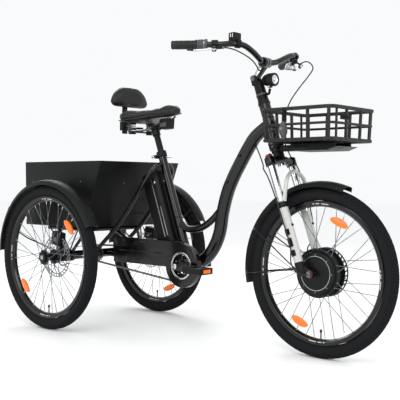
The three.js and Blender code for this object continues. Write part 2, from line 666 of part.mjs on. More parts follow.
// ---------------------------------------------------------------- basket and its carrier
function basket() {
  const r = BASKET_RAIL / 2;
  const taper = 5;
  const pieces = [];
  const bar = (from, to, half = r) => {
    const along = to.clone().sub(from);
    const g = new THREE.BoxGeometry(half * 2, along.length(), half * 2);
    g.applyQuaternion(new THREE.Quaternion().setFromUnitVectors(v(0, 1, 0), along.clone().normalize()));
    const middle = from.clone().add(to).multiplyScalar(0.5);
    return g.translate(middle.x, middle.y, middle.z);
  };
  const level = (z) => {
    const inset = (taper * (BASKET_TOP - z)) / (BASKET_TOP - BASKET_BOTTOM);
    return { x0: BASKET_X[0] + r + inset, x1: BASKET_X[1] - r - inset, y: BASKET_HALF - r - inset };
  };
  const high = BASKET_TOP - r;
  const low = BASKET_BOTTOM + r;
  for (const z of [high, (high + low) / 2, low]) {
    const { x0, x1, y } = level(z);
    const half = z === high || z === low ? r : r * 0.7;
    for (const s of [-1, 1]) {
      pieces.push(bar(v(x0 - half, s * y, z), v(x1 + half, s * y, z), half));
    }
    for (const x of [x0, x1]) pieces.push(bar(v(x, -y, z), v(x, y, z), half));
  }
  const [t, b] = [level(high), level(low)];
  for (let k = 0; k < 4; k += 1) {
    for (const s of [-1, 1]) {
      const share = k / 3;
      pieces.push(bar(v(b.x0 + (b.x1 - b.x0) * share, s * b.y, low),
        v(t.x0 + (t.x1 - t.x0) * share, s * t.y, high), r * 0.85));
    }
  }
  for (const s of [-0.34, 0.34]) {
    for (const end of ['x0', 'x1']) {
      pieces.push(bar(v(b[end], s * b.y, low), v(t[end], s * t.y, high), r * 0.85));
    }
  }
  pieces.push(block(v(b.x0, -b.y, low - 2), v(b.x1, b.y, low + 2)));
  return join(...pieces);
}
add('front_basket', 'basket_grey', basket());

const TRAY_REAR = 1052; // the fork's crown turns in the space behind it
function basketCarrier() {
  const top = BASKET_BOTTOM - GAP;
  const trayTop = 752;
  const tray = hull([-1, 1].flatMap((s) => [
    v(TRAY_REAR, s * 80, trayTop), v(1240, s * 88, trayTop), v(1262, s * 60, trayTop),
    v(TRAY_REAR, s * 70, trayTop - 14), v(1215, s * 70, trayTop - 14)]));
  const pieces = [tray];
  for (const s of [-1, 1]) {
    pieces.push(block(v(TRAY_REAR, s * 52 - 7, trayTop - 2), v(1235, s * 52 + 7, top)));
  }
  const armZ = 764;
  pieces.push(
    block(v(steerX(armZ) + 10, -13, trayTop - 12), v(TRAY_REAR + 20, 13, trayTop + 12)),
    rod(steerAt(armZ - 14), steerAt(armZ + 14), HEAD_RADIUS + 6, 14),
  );
  return cut(join(...pieces), rod(steerAt(armZ - 40), steerAt(armZ + 40), HEAD_RADIUS + GAP, 14));
}
add('basket_carrier', 'satin_black', basketCarrier());

// ---------------------------------------------------------------- fork
function forkCrown() {
  const crownMiddle = steerAt(CROWN_TOP - CROWN_HEIGHT / 2);
  const pieces = [
    rod(steerAt(CROWN_TOP - CROWN_HEIGHT), steerAt(HEAD_TOP + 12), STEERER_RADIUS, 12),
    rod(steerAt(CROWN_TOP - 4), steerAt(HEAD_BOTTOM - GAP), HEAD_RADIUS - 2, 12),
  ];
  const arch = [];
  for (const s of [-1, 1]) {
    pieces.push(
      rod(steerAt(CROWN_TOP - CROWN_HEIGHT, s * FORK_SPREAD), steerAt(CROWN_TOP, s * FORK_SPREAD),
        CROWN_BOSS_RADIUS, 12),
      rod(steerAt(LEG_TOP - FORK_TRAVEL - 30, s * FORK_SPREAD), steerAt(CROWN_TOP - 5, s * FORK_SPREAD),
        STANCHION_RADIUS, 10),
    );
  }
  for (const [y, lift, half] of [[-FORK_SPREAD, -4, 13], [-28, 6, 15], [28, 6, 15],
    [FORK_SPREAD, -4, 13]]) {
    for (const [u, f] of [[-half, -16], [-half, 16], [half, -16], [half, 16]]) {
      arch.push(off(off(v(crownMiddle.x, y, crownMiddle.z), steerUp, u + lift), steerFront, f));
    }
  }
  pieces.push(hull(arch));
  return join(...pieces);
}
add('fork_crown', 'gloss_black', forkCrown());

const knobFoot = steerAt(CROWN_TOP + GAP, -FORK_SPREAD);
add('lockout_knob', 'red', join(
  rod(knobFoot, off(knobFoot, steerUp, 10), 15, 16, 13),
  hull([[-14, -3], [14, -3], [14, 3], [-14, 3]].flatMap(([a, b]) => [6, 14].map((h) => off(
    off(v(knobFoot.x, knobFoot.y + b, knobFoot.z), steerUp, h), steerFront, a * 0.9)))),
));

const dropoutFoot = v(WHEELBASE, 0, WHEEL_RADIUS);
function forkLowers() {
  const pieces = [];
  const tools = [];
  for (const s of [-1, 1]) {
    const y = s * FORK_SPREAD;
    const foot = steerAt(LEG_BOTTOM, y);
    pieces.push(
      rod(foot, steerAt(LEG_TOP, y), LEG_RADIUS - 2, 10, LEG_RADIUS),
      rod(steerAt(LEG_TOP - 22, y), steerAt(LEG_TOP - 4, y), LEG_RADIUS + 2.5, 10),
      hull([-6, 6].flatMap((d) => [
        v(foot.x - 12, y + d, foot.z + 26), v(foot.x - 6, y + d, foot.z - 8),
        v(dropoutFoot.x + 4, y + d, dropoutFoot.z - 18), v(dropoutFoot.x + 17, y + d, dropoutFoot.z),
        v(dropoutFoot.x + 4, y + d, dropoutFoot.z + 18), v(foot.x + 14, y + d, foot.z + 40)])),
    );
    tools.push(rod(steerAt(LEG_TOP - FORK_TRAVEL - 90, y), steerAt(LEG_TOP + 20, y),
      STANCHION_RADIUS + GAP + 0.6, 10));
  }
  const lead = (z, forward) => off(steerAt(z), steerFront, forward);
  const arch = [[-1, LEG_TOP - 12, 6], [-0.98, 596, 32], [-0.72, 632, 42], [0, 652, 44],
    [0.72, 632, 42], [0.98, 596, 32], [1, LEG_TOP - 12, 6]].map(([s, z, forward]) => {
    const point = lead(z, forward);
    return v(point.x, s * FORK_SPREAD, point.z);
  });
  pieces.push(tube(arch, 7.5, 6, 10));
  tools.push(disc(FRONT_AXLE_RADIUS + GAP, -100, 100, WHEELBASE, WHEEL_RADIUS, 12));
  return cut(join(...pieces), ...tools);
}
add('fork_lowers', 'fork_white', forkLowers());

add('front_axle', 'steel', join(
  disc(FRONT_AXLE_RADIUS, -FORK_SPREAD - 20, FORK_SPREAD + 20, WHEELBASE, WHEEL_RADIUS, 12),
  disc(12, -FORK_SPREAD - 16, -FORK_SPREAD - 6 - GAP, WHEELBASE, WHEEL_RADIUS, 6),
  disc(12, FORK_SPREAD + 6 + GAP, FORK_SPREAD + 16, WHEELBASE, WHEEL_RADIUS, 6),
));

const FRONT_CALIPER_X = 1058;
const FRONT_CALIPER_Z = 344;
function frontCaliper() {
  const body = caliperBody(FRONT_CALIPER_X, FRONT_ROTOR_INSET, FRONT_CALIPER_Z, 15, 30, [-12, 12]);
  return cut(body, rotorSlot(FRONT_ROTOR_INSET, WHEELBASE, WHEEL_RADIUS),
    rod(steerAt(LEG_BOTTOM - 40, FORK_SPREAD), steerAt(LEG_TOP, FORK_SPREAD), LEG_RADIUS + GAP, 20));
}
add('front_caliper', 'satin_black', frontCaliper());

const FRONT_FENDER_ENDS = [191, 70];
function frontFender() {
  const x = WHEELBASE;
  const pieces = [fenderShell(x, 0, FRONT_FENDER_ENDS[0], FRONT_FENDER_ENDS[1], 14)];
  for (const s of [-1, 1]) {
    for (const angle of [152, 184]) {
      const edge = onWheel(x, s * (FENDER_HALF_WIDTH - 2), FENDER_RADIUS - 14, angle);
      const eyelet = v(steerX(LEG_BOTTOM + 20) - 22, s * (FORK_SPREAD - 4), LEG_BOTTOM + 16);
      pieces.push(rod(edge, eyelet, 2.5, 4));
    }
    const eyelet = v(steerX(LEG_BOTTOM + 20) - 22, s * (FORK_SPREAD - 4), LEG_BOTTOM + 16);
    pieces.push(rod(off(eyelet, v(0, 1, 0), -5), off(eyelet, v(0, 1, 0), 5), 5, 8));
  }
  return join(...pieces);
}
add('front_fender', 'satin_black', frontFender());

// ---------------------------------------------------------------- seat
const POST_TOP = 846;
const POST_FOOT = 600;
const SADDLE_NOSE = 458;
const SADDLE_REAR = 186;
const SADDLE_HALF = 125;
add('seatpost', 'satin_black', rod(
  seatAt(POST_FOOT), seatAt(POST_TOP), SEATPOST_RADIUS, POST_SIDES));

// An outline in the y-z plane given a thickness along x.
function slab(shape, x0, x1, segments = 10) {
  const g = new THREE.ExtrudeGeometry(shape, {
    depth: x1 - x0, bevelEnabled: false, curveSegments: segments,
  });
  return g.applyMatrix4(new THREE.Matrix4().makeBasis(v(0, 1, 0), v(0, 0, 1), v(1, 0, 0)))
    .translate(x0, 0, 0);
}

function outline(points) {
  return new THREE.Shape(points.map(([a, b]) => new THREE.Vector2(a, b)));
}

function smooth(points, divisions) {
  const curve = new THREE.SplineCurve(points.map(([a, b]) => new THREE.Vector2(a, b)));
  return curve.getPoints(divisions).map((p) => [p.x, p.y]);
}

function saddle() {
  const side = smooth([[SADDLE_NOSE, 4], [SADDLE_NOSE - 14, 24], [SADDLE_NOSE - 60, 33],
    [SADDLE_NOSE - 110, 50], [SADDLE_NOSE - 160, 86], [SADDLE_NOSE - 205, 116],
    [SADDLE_REAR + 34, SADDLE_HALF], [SADDLE_REAR + 8, 108], [SADDLE_REAR, 60],
    [SADDLE_REAR + 4, 4]], 14);
  const plan = outline([...side, ...side.map(([x, y]) => [x, -y]).reverse()]);
  const body = new THREE.ExtrudeGeometry(plan, { depth: 120, bevelEnabled: false })
    .translate(0, 0, 850);
  const top = smooth([[SADDLE_REAR - 2, 900], [SADDLE_REAR + 6, 922], [SADDLE_REAR + 40, 929],
    [SADDLE_REAR + 90, 926], [SADDLE_REAR + 150, 932], [SADDLE_REAR + 210, 949],
    [SADDLE_NOSE - 26, 950], [SADDLE_NOSE - 4, 936], [SADDLE_NOSE + 2, 922]], 14);
  const foot = [[SADDLE_NOSE - 10, 906], [SADDLE_NOSE - 60, 902], [SADDLE_NOSE - 120, 898],
    [SADDLE_NOSE - 180, 886], [SADDLE_REAR + 40, 878], [SADDLE_REAR + 6, 880]];
  const profile = plate(outline([...top, ...foot]), -SADDLE_HALF - 5, SADDLE_HALF + 5);
  return geometryOf(solid(body).intersect(solid(profile)));
}
add('saddle', 'leather', saddle());

const SPRING_X = 222;
const SPRING_Y = 52;
const SPRING_RADIUS = 17;
const REST_X = 118; // middle of the back rest's flat post
const REST_POST = v(10, 26, 0);
function saddleFrame() {
  const head = seatAt(POST_TOP + 2);
  const pieces = [
    disc(15, -26, 26, head.x, head.z + 12, 12),
    rod(off(head, seatUp, -34), off(head, seatUp, 6), SEATPOST_RADIUS + 4, 12),
    hull([-24, 24].flatMap((y) => [v(352, y, 848), v(396, y, 846), v(404, y * 0.8, 862),
      v(402, y * 0.9, 890), v(366, y, 896)])),
    block(v(SPRING_X - 14, -SPRING_Y, 837), v(SPRING_X + 14, SPRING_Y, 843)),
    block(v(REST_X - 12, -20, 852), v(REST_X + 12, 20, 892)),
    block(v(REST_X + 8, -15, 854), v(SPRING_X, 15, 862)),
    block(v(SPRING_X - 8, -15, 840), v(SPRING_X + 2, 15, 862)),
  ];
  for (const s of [-1, 1]) {
    pieces.push(
      rod(v(SPRING_X, s * SPRING_Y, 830), v(SPRING_X, s * SPRING_Y, 877), SPRING_RADIUS, 10),
      tube([v(SPRING_X, s * 40, 841), v(290, s * 30, 848), v(head.x, s * 22, head.z + 12),
        v(380, s * 18, 884), v(415, s * 12, 899)], 4, 6, 7),
    );
  }
  return cut(join(...pieces),
    rod(seatAt(POST_FOOT), seatAt(POST_TOP + GAP), SEATPOST_RADIUS + GAP + 0.2, POST_SIDES),
    block(v(REST_X - REST_POST.x / 2 - GAP, -REST_POST.y / 2 - GAP, 800),
      v(REST_X + REST_POST.x / 2 + GAP, REST_POST.y / 2 + GAP, 960)));
}
add('saddle_frame', 'satin_black', cut(saddleFrame(), saddle().translate(0, 0, -GAP)));

const REST_PIVOT_Z = 992;
const REST_BACK_X = 134;
const REST_THICKNESS = 34;
const REST_HALF = 110;
add('backrest_post', 'satin_black', join(
  block(v(REST_X - REST_POST.x / 2, -REST_POST.y / 2, 838),
    v(REST_X + REST_POST.x / 2, REST_POST.y / 2, REST_PIVOT_Z + 12)),
  disc(7, -REST_POST.y / 2 - 4, REST_POST.y / 2 + 4, REST_X, REST_PIVOT_Z, 12),
));
function backrest() {
  const foot = 954;
  const top = 1040;
  const half = smooth([[REST_HALF - 14, foot], [REST_HALF, foot + 14], [REST_HALF - 6, foot + 34],
    [REST_HALF - 36, top - 18], [52, top - 4], [0, top]], 12);
  const shape = outline([...half, ...half.slice(0, -1).map(([y, z]) => [-y, z]).reverse()]);
  const ears = [-1, 1].map((s) => {
    const y = [s * (REST_POST.y / 2 + 4 + GAP), s * (REST_POST.y / 2 + 10)].sort((a, b) => a - b);
    return block(v(REST_X - 8, y[0], REST_PIVOT_Z - 9), v(REST_BACK_X + 4, y[1], REST_PIVOT_Z + 9));
  });
  return join(slab(shape, REST_BACK_X, REST_BACK_X + REST_THICKNESS), ...ears);
}
add('backrest', 'leather', backrest());

// ---------------------------------------------------------------- stem and handlebar
const PIVOT = v(848, 0, 1018);
const CLAMP = v(894, 0, 1077);
const KNUCKLE_RADIUS = 15;
const ARM_HALF = 10;
function stemColumn() {
  const top = steerAt(PIVOT.z - 14);
  const pieces = [rod(steerAt(HEAD_TOP + GAP), top, HEAD_RADIUS, 14, HEAD_RADIUS - 3)];
  for (const s of [-1, 1]) {
    const y = [s * (ARM_HALF + GAP), s * (ARM_HALF + 8)].sort((a, b) => a - b);
    pieces.push(hull(y.flatMap((yy) => [v(top.x - 17, yy, top.z - 14), v(top.x + 17, yy, top.z - 8),
      v(PIVOT.x - 13, yy, PIVOT.z + 4), v(PIVOT.x - 6, yy, PIVOT.z + 13),
      v(PIVOT.x + 8, yy, PIVOT.z + 12), v(PIVOT.x + 14, yy, PIVOT.z)])));
  }
  pieces.push(tube([off(steerAt(962), steerFront, 12), v(910, 0, 958), v(917, 0, 978)], 5, 6, 4));
  return cut(join(...pieces),
    disc(KNUCKLE_RADIUS + 2, -ARM_HALF - GAP, ARM_HALF + GAP, PIVOT.x, PIVOT.z, 16),
    rod(steerAt(HEAD_TOP - 5), steerAt(HEAD_TOP + 12 + GAP), STEERER_RADIUS + GAP + 0.2, 12));
}
add('stem_column', 'satin_black', join(stemColumn(),
  disc(5, -ARM_HALF - 11, ARM_HALF + 11, PIVOT.x, PIVOT.z, 10)));

const LAMP = v(HEAD_RADIUS + 891, 0, 1010);
add('headlight', 'black_plastic', join(
  rod(v(LAMP.x - 26, 0, LAMP.z), v(LAMP.x + 8, 0, LAMP.z), 15, 14, 25),
  rod(v(LAMP.x + 8, 0, LAMP.z), v(LAMP.x + 28, 0, LAMP.z), 25, 14),
  block(v(LAMP.x - 3, -7, 980.5), v(LAMP.x + 11, 7, LAMP.z)),
));

function stemArm() {
  const along = CLAMP.clone().sub(PIVOT).normalize();
  const across = v(-along.z, 0, along.x);
  const stations = [[4, 13, ARM_HALF], [21, 13, ARM_HALF], [66, 15, 16]];
  const slice = ([t, deep, half]) => [-1, 1].flatMap((s) => [-1, 1].map((k) => off(
    off(v(PIVOT.x, s * half, PIVOT.z), along, t), across, k * deep)));
  const beam = join(hull(stations.slice(0, 2).flatMap(slice)), hull(stations.slice(1).flatMap(slice)));
  const barrel = disc(19, -21, 21, CLAMP.x, CLAMP.z, 16);
  const knuckle = disc(KNUCKLE_RADIUS, -ARM_HALF, ARM_HALF, PIVOT.x, PIVOT.z, 16);
  return cut(join(beam, barrel, knuckle), disc(13.4, -40, 40, CLAMP.x, CLAMP.z, 14),
    disc(5 + GAP + 0.4, -40, 40, PIVOT.x, PIVOT.z, 12));
}
add('stem_arm', 'gloss_black', stemArm());

const BEND = { x: 868, y: 228, z: 1117 }; // where the bar's straight ends start
const TIP = { x: 728, y: 332, z: 1116 };
const barSide = (s) => {
  const start = v(BEND.x, s * BEND.y, BEND.z);
  const end = v(TIP.x, s * TIP.y, TIP.z);
  const u = end.clone().sub(start).normalize();
  const f = v(u.y * s, -u.x * s, 0).normalize();
  const at = (t, forward = 0, up = 0) => off(off(off(start, u, t), f, forward), v(0, 0, 1), up);
  return { start, end, u, f, at };
};
const BAR_REACH = Math.hypot(TIP.x - BEND.x, TIP.y - BEND.y, TIP.z - BEND.z);

const barPoints = (s) => [v(CLAMP.x, s * 20, CLAMP.z), v(906, s * 52, 1083), v(911, s * 100, 1103),
  v(908, s * 150, 1120), v(895, s * 195, 1121), v(BEND.x, s * BEND.y, BEND.z)];
const barClearance = (s) => tube(barPoints(s).slice(2), BAR_RADIUS + 1.5, 10, 8);

function handlebar() {
  const pieces = [disc(12.7, -24, 24, CLAMP.x, CLAMP.z, 14)];
  for (const s of [-1, 1]) {
    const side = barSide(s);
    pieces.push(tube([...barPoints(s), side.at(8)], BAR_RADIUS, 8, 8));
    pieces.push(rod(side.at(0), side.end, BAR_RADIUS, 8));
  }
  return join(...pieces);
}
add('handlebar', 'gloss_black', handlebar());

// A sleeve around the bar's straight end, from t0 to t1 along it.
function sleeve(side, t0, t1, radius, sides = 16) {
  return cut(rod(side.at(t0), side.at(t1), radius, sides),
    rod(side.at(t0 - 5), side.at(t1 + 5), BAR_RADIUS + GAP + 0.5, 16));
}
const PERCH = [10, 34];
const PERCH_MIDDLE = (PERCH[0] + PERCH[1]) / 2;
const ADJUSTER_REACH = 34;
const gripStart = BAR_REACH + 4 - GRIP_LENGTH;
const GRIP_START_LEFT = 40;
for (const [name, s] of [['right', -1], ['left', 1]]) {
  const side = barSide(s);
  const from = s < 0 ? gripStart : GRIP_START_LEFT;
  add(`grip_${name}`, 'rubber', cut(rod(side.at(from), side.at(BAR_REACH + 4), GRIP_RADIUS, 16),
    rod(side.at(from - 5), side.at(BAR_REACH + GAP), BAR_RADIUS + GAP + 0.5, 16)));
  // brake lever holder, and the blade that turns in it
  const middle = PERCH_MIDDLE;
  const pivot = side.at(middle, 30, -20);
  const normal = side.u.clone().cross(side.at(0, 0.8, -0.6).sub(side.at(0))).normalize();
  const holder = join(
    rod(side.at(PERCH[0]), side.at(PERCH[1]), 16.5, 12),
    hull([-1, 1].flatMap((k) => [side.at(middle + k * 11, 4, 8), side.at(middle + k * 11, 4, -13),
      side.at(middle + k * 9, 28, -8), side.at(middle + k * 9, 22, -22)])),
    rod(off(pivot, normal, -8), off(pivot, normal, 8), 9, 10),
    rod(side.at(middle - 8, 26, -16), side.at(middle - ADJUSTER_REACH, 22, -16), 4.5, 6),
  );
  const slot = hull([-1, 1].flatMap((k) => [[-11, -11], [60, -11], [60, 16], [-11, 16]].map(
    ([a, b]) => off(off(off(pivot, side.u, a), normal.clone().cross(side.u), b), normal, k * 3.8))));
  add(`lever_holder_${name}`, 'satin_black', join(cut(holder, slot,
    rod(side.at(PERCH[0] - 5), side.at(PERCH[1] + 5), BAR_RADIUS + GAP + 0.5, 12)),
  rod(off(pivot, normal, -8), off(pivot, normal, 8), 2.5, 8)));
  const blade = (t, out, size) => [-1, 1].flatMap((k) => [-1, 1].map((w) => off(off(off(off(pivot,
    side.u, t), normal.clone().cross(side.u), out), normal, k * size), normal.clone().cross(side.u),
    w * size)));
  add(`brake_lever_${name}`, 'silver', cut(join(
    rod(off(pivot, normal, -3.4), off(pivot, normal, 3.4), 8, 12),
    hull([...blade(3, 0, 3.4), ...blade(30, 6, 3.4)]),
    hull([...blade(30, 6, 3.4), ...blade(66, 9, 4)]),
    hull([...blade(66, 9, 4), ...blade(98, 3, 4)]),
  ), rod(off(pivot, normal, -9), off(pivot, normal, 9), 2.5 + GAP + 0.2, 8)));
}
add('shift_twist', 'grey', sleeve(barSide(-1), gripStart - GAP - TWIST_LENGTH, gripStart - GAP, 20));

const DISPLAY = v(889, -176, 1137); // middle of the display's underside
const DISPLAY_HEIGHT = 26;
const BUTTON_HALF = 4;
const BUTTON_TRAVEL = 1.5;
const displayTop = DISPLAY.z + DISPLAY_HEIGHT;
function display() {
  const clampZ = DISPLAY.z - 14;
  const rows = [[0, 2], [4, 0], [DISPLAY_HEIGHT - 4, 0], [DISPLAY_HEIGHT, 2]];
  const body = hull(rows.flatMap(([h, inset]) => [-1, 1].flatMap((a) => [-1, 1].map((b) => v(
    DISPLAY.x + a * (15 - inset), DISPLAY.y + b * (19 - inset), DISPLAY.z + h)))));
  const room = BUTTON_HALF + GAP;
  const well = block(v(DISPLAY.x - room, DISPLAY.y - room, displayTop - 2 * BUTTON_TRAVEL - 2),
    v(DISPLAY.x + room, DISPLAY.y + room, displayTop + 5));
  return cut(join(body, rod(v(906, -166, clampZ), v(899, -186, clampZ), 17, 10)),
    barClearance(-1), well);
}
add('display', 'black_plastic', display());
add('assist_button', 'grey', block(
  v(DISPLAY.x - BUTTON_HALF, DISPLAY.y - BUTTON_HALF, displayTop - BUTTON_TRAVEL - 1),
  v(DISPLAY.x + BUTTON_HALF, DISPLAY.y + BUTTON_HALF, displayTop + BUTTON_TRAVEL + 1)));

const BELL = v(880, 180, 1072); // foot of the bell's dome
const BELL_RADIUS = 23;
const bellLeverZ = BELL.z + 25;
function bell() {
  const dome = join(rod(BELL, off(BELL, v(0, 0, 1), 10), 12, 16, 21),
    rod(off(BELL, v(0, 0, 1), 10), off(BELL, v(0, 0, 1), 24), 21, 16, BELL_RADIUS));
  const bracket = block(v(BELL.x + 10, BELL.y - 8, BELL.z + 20), v(BELL.x + 30, BELL.y + 8, 1118));
  return cut(join(dome, bracket), barClearance(1));
}
add('bell', 'silver', bell());
const bellPivot = v(BELL.x - 4, BELL.y + 8, bellLeverZ);
add('bell_lever', 'silver', join(
  rod(bellPivot, off(bellPivot, v(0, 0, 1), 5), 6, 12),
  hull([v(0, 4, 0), v(-4, -3, 0), v(-30, 14, 0), v(-24, 26, 0)].flatMap((p) => [
    bellPivot.clone().add(p), off(bellPivot.clone().add(p), v(0, 0, 1), 4)])),
));

// ---------------------------------------------------------------- cables
const CABLE_RADIUS = 2.5;
function cable(points, steps) {
  return tube(points, CABLE_RADIUS, 8, steps);
}
const outlet = (s, reach) => barSide(s).at(PERCH_MIDDLE - ADJUSTER_REACH - 1 - reach, 22, -16);
add('front_brake_cable', 'rubber', cable([
  outlet(1, 0), outlet(1, 8), v(916, 219, 1102), v(942, 205, 1100),
  v(975, 185, 1085), v(996, 166, 1062), v(990, 142, 1030), v(966, 120, 988), v(938, 104, 940),
  v(918, 96, 885), v(912, 93, 830), v(922, 92, 775), v(946, 94, 728), v(978, 95, 685),
  v(1008, 93, 630), v(1032, 92, 560), v(1052, 91, 480), v(1056, 90, 425), v(1048, 76, 395),
  v(1054, 56, 385), v(1058, 50, FRONT_CALIPER_Z + 31.5)], 38));
add('rear_brake_cable', 'rubber', cable([
  outlet(-1, 0), outlet(-1, 8), v(918, -215, 1095), v(936, -190, 1082),
  v(938, -150, 1070), v(924, -105, 1060), v(902, -60, 1052), v(884, -30, 1048),
  v(877, -14, 1047)], 16));
const beside = (z, y, forward) => off(steerAt(z, y), steerFront, forward);
add('motor_cable', 'rubber', cable([v(858, -6, 762.5), v(872, -14, 748), v(900, -34, 722),
  beside(700, -58, -40), beside(684, -84, -25), beside(650, -91, -11), beside(560, -91, -2),
  beside(480, -90, 0), beside(400, -89, 0), v(1086, -93, 340), v(1112, -102, 314),
  v(1134, -102, 306), v(1147, -94, 305), v(1148, -FORK_SPREAD - 20.5, 305)], 28));

// ---------------------------------------------------------------- origin under the middle
const extent = new THREE.Box3().setFromObject(tricycle);
tricycle.position.x = -(extent.min.x + extent.max.x) / 2;

export default tricycle;
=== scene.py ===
"""Adult tricycle with an electric front wheel: the finished look of its pieces.

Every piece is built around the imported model, which gives the bodies, the joints and the overall
box. Shapes are drawn in millimetres, x forward from the rear axle, y to the rider's left and z up
from the floor, and are turned to metres in the model's own frame when a piece is finished.
"""
import bpy
import bmesh
import json
import math
from mathutils import Matrix, Vector


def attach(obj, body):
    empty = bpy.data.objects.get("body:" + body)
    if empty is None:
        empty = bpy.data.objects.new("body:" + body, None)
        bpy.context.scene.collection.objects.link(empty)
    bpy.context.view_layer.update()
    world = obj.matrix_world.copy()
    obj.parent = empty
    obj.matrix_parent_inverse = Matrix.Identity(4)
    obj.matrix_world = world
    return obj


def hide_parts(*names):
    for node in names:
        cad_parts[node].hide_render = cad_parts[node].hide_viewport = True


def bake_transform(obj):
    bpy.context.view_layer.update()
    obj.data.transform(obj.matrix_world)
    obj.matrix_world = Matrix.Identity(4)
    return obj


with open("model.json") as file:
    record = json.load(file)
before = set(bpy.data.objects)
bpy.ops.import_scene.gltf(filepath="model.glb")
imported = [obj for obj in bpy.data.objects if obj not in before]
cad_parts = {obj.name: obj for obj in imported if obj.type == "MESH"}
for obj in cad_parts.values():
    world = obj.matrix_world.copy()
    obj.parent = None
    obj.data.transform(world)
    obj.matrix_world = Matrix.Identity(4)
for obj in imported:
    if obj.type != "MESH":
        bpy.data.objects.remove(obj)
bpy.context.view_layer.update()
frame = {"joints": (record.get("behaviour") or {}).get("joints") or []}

bl_info = {
    "name": "Adult tricycle",
    "version": (1, 0, 0),
    "blender": (4, 5, 0),
    "location": "3D View > Sidebar > Tricycle",
    "description": "Builds the pieces of an adult tricycle with a front hub motor",
    "category": "Add Mesh",
}

JOINTS = {joint["name"]: joint for joint in frame["joints"]}
AXLE_X = JOINTS["rear_wheel_right"]["pos_m"][0]
PLACE = Matrix.Translation((AXLE_X, 0, 0)) @ Matrix.Scale(0.001, 4)
SHARP = math.radians(31)
UP = Vector((0, 0, 1))
LEFT = Vector((0, 1, 0))

# ---------------------------------------------------------------- places shared by the pieces
WHEELBASE = 1148
TRACK = 649
WHEEL_RADIUS = 305
TYRE_RADIUS = 25  # of the tyre's round section
RIM_RADIUS = 258
ROTOR_RADIUS = 90
REAR_ROTOR_INSET = 42
FRONT_ROTOR_INSET = 41
MOTOR_RADIUS = 79
CRANK = Vector((528, 0, 288))
CHAIN_LINE = -50
CRANK_LENGTH = 165
PEDAL_SPREAD = 150
FORK_SPREAD = 65
CROWN_TOP = 716
HEAD_TOP = 926
HEAD_BOTTOM = 738
SEAT_TUBE_TOP = 752
AXLE_TUBE_RADIUS = 19
FENDER_RADIUS = 328
FENDER_HALF_WIDTH = 33
PIVOT = Vector((848, 0, 1018))
CLAMP = Vector((894, 0, 1077))
BAR_RADIUS = 11.1
REST_PIVOT_Z = 992


def steer(z, y=0.0, forward=0.0):
    """A point on the steering axis at a height, moved sideways and square to the axis."""
    return Vector((889 + 0.36 * (HEAD_TOP - z), y, z)) + STEER_FRONT * forward


def seat(z, y=0.0, back=0.0):
    """A point on the seat tube's axis at a height, moved sideways and square to the tube."""
    return Vector((519 - 0.372 * (z - 287), y, z)) + SEAT_BACK * back


STEER_UP = Vector((-0.36, 0, 1)).normalized()
STEER_FRONT = Vector((STEER_UP.z, 0, -STEER_UP.x))
SEAT_UP = Vector((-0.372, 0, 1)).normalized()
SEAT_BACK = Vector((-SEAT_UP.z, 0, SEAT_UP.x))


class BarSide:
    """The straight end of the handlebar on one side: -1 is the rider's right, 1 the left."""

    def __init__(self, side):
        self.side = side
        self.start = Vector((868, side * 228, 1117))
        self.end = Vector((728, side * 332, 1116))
        self.along = (self.end - self.start).normalized()
        self.front = Vector((self.along.y * side, -self.along.x * side, 0)).normalized()
        self.reach = (self.end - self.start).length

    def at(self, t, forward=0.0, up=0.0):
        return self.start + self.along * t + self.front * forward + UP * up


def on_wheel(x, y, radius, degrees):
    angle = math.radians(degrees)
    return Vector((x + radius * math.cos(angle), y, WHEEL_RADIUS + radius * math.sin(angle)))


# ---------------------------------------------------------------- shapes
def turned_frame(along):
    """Two unit vectors square to a direction and to each other."""
    helper = UP if abs(along.z) < 0.9 else Vector((1, 0, 0))
    side = along.cross(helper).normalized()
    return side, side.cross(along).normalized()


def curve_points(points, steps=8):
    """A smooth line through the points, with its parameter spaced by the root of the distance."""
    points = [Vector(p) for p in points]
    before = points[0] * 2 - points[1]
    after = points[-1] * 2 - points[-2]
    padded = [before, *points, after]
    line = []
    for k in range(len(points) - 1):
        p = padded[k:k + 4]
        t = [0.0]
        for a, b in zip(p, p[1:]):
            t.append(t[-1] + max((b - a).length, 1e-6) ** 0.5)
        for n in range(steps):
            u = t[1] + (t[2] - t[1]) * n / steps
            a = [p[i] * (t[i + 1] - u) / (t[i + 1] - t[i]) + p[i + 1] * (u - t[i]) / (t[i + 1] - t[i])
                 for i in range(3)]
            b = [a[i] * (t[i + 2] - u) / (t[i + 2] - t[i]) + a[i + 1] * (u - t[i]) / (t[i + 2] - t[i])
                 for i in range(2)]
            line.append(b[0] * (t[2] - u) / (t[2] - t[1]) + b[1] * (u - t[1]) / (t[2] - t[1]))
    line.append(points[-1])
    return line


def arc(x, z, radius, start, end, steps):
    """Points of a round stretch in a plane, from one angle to another in degrees."""
    angles = [math.radians(start + (end - start) * k / steps) for k in range(steps + 1)]
    return [(x + radius * math.cos(a), z + radius * math.sin(a)) for a in angles]


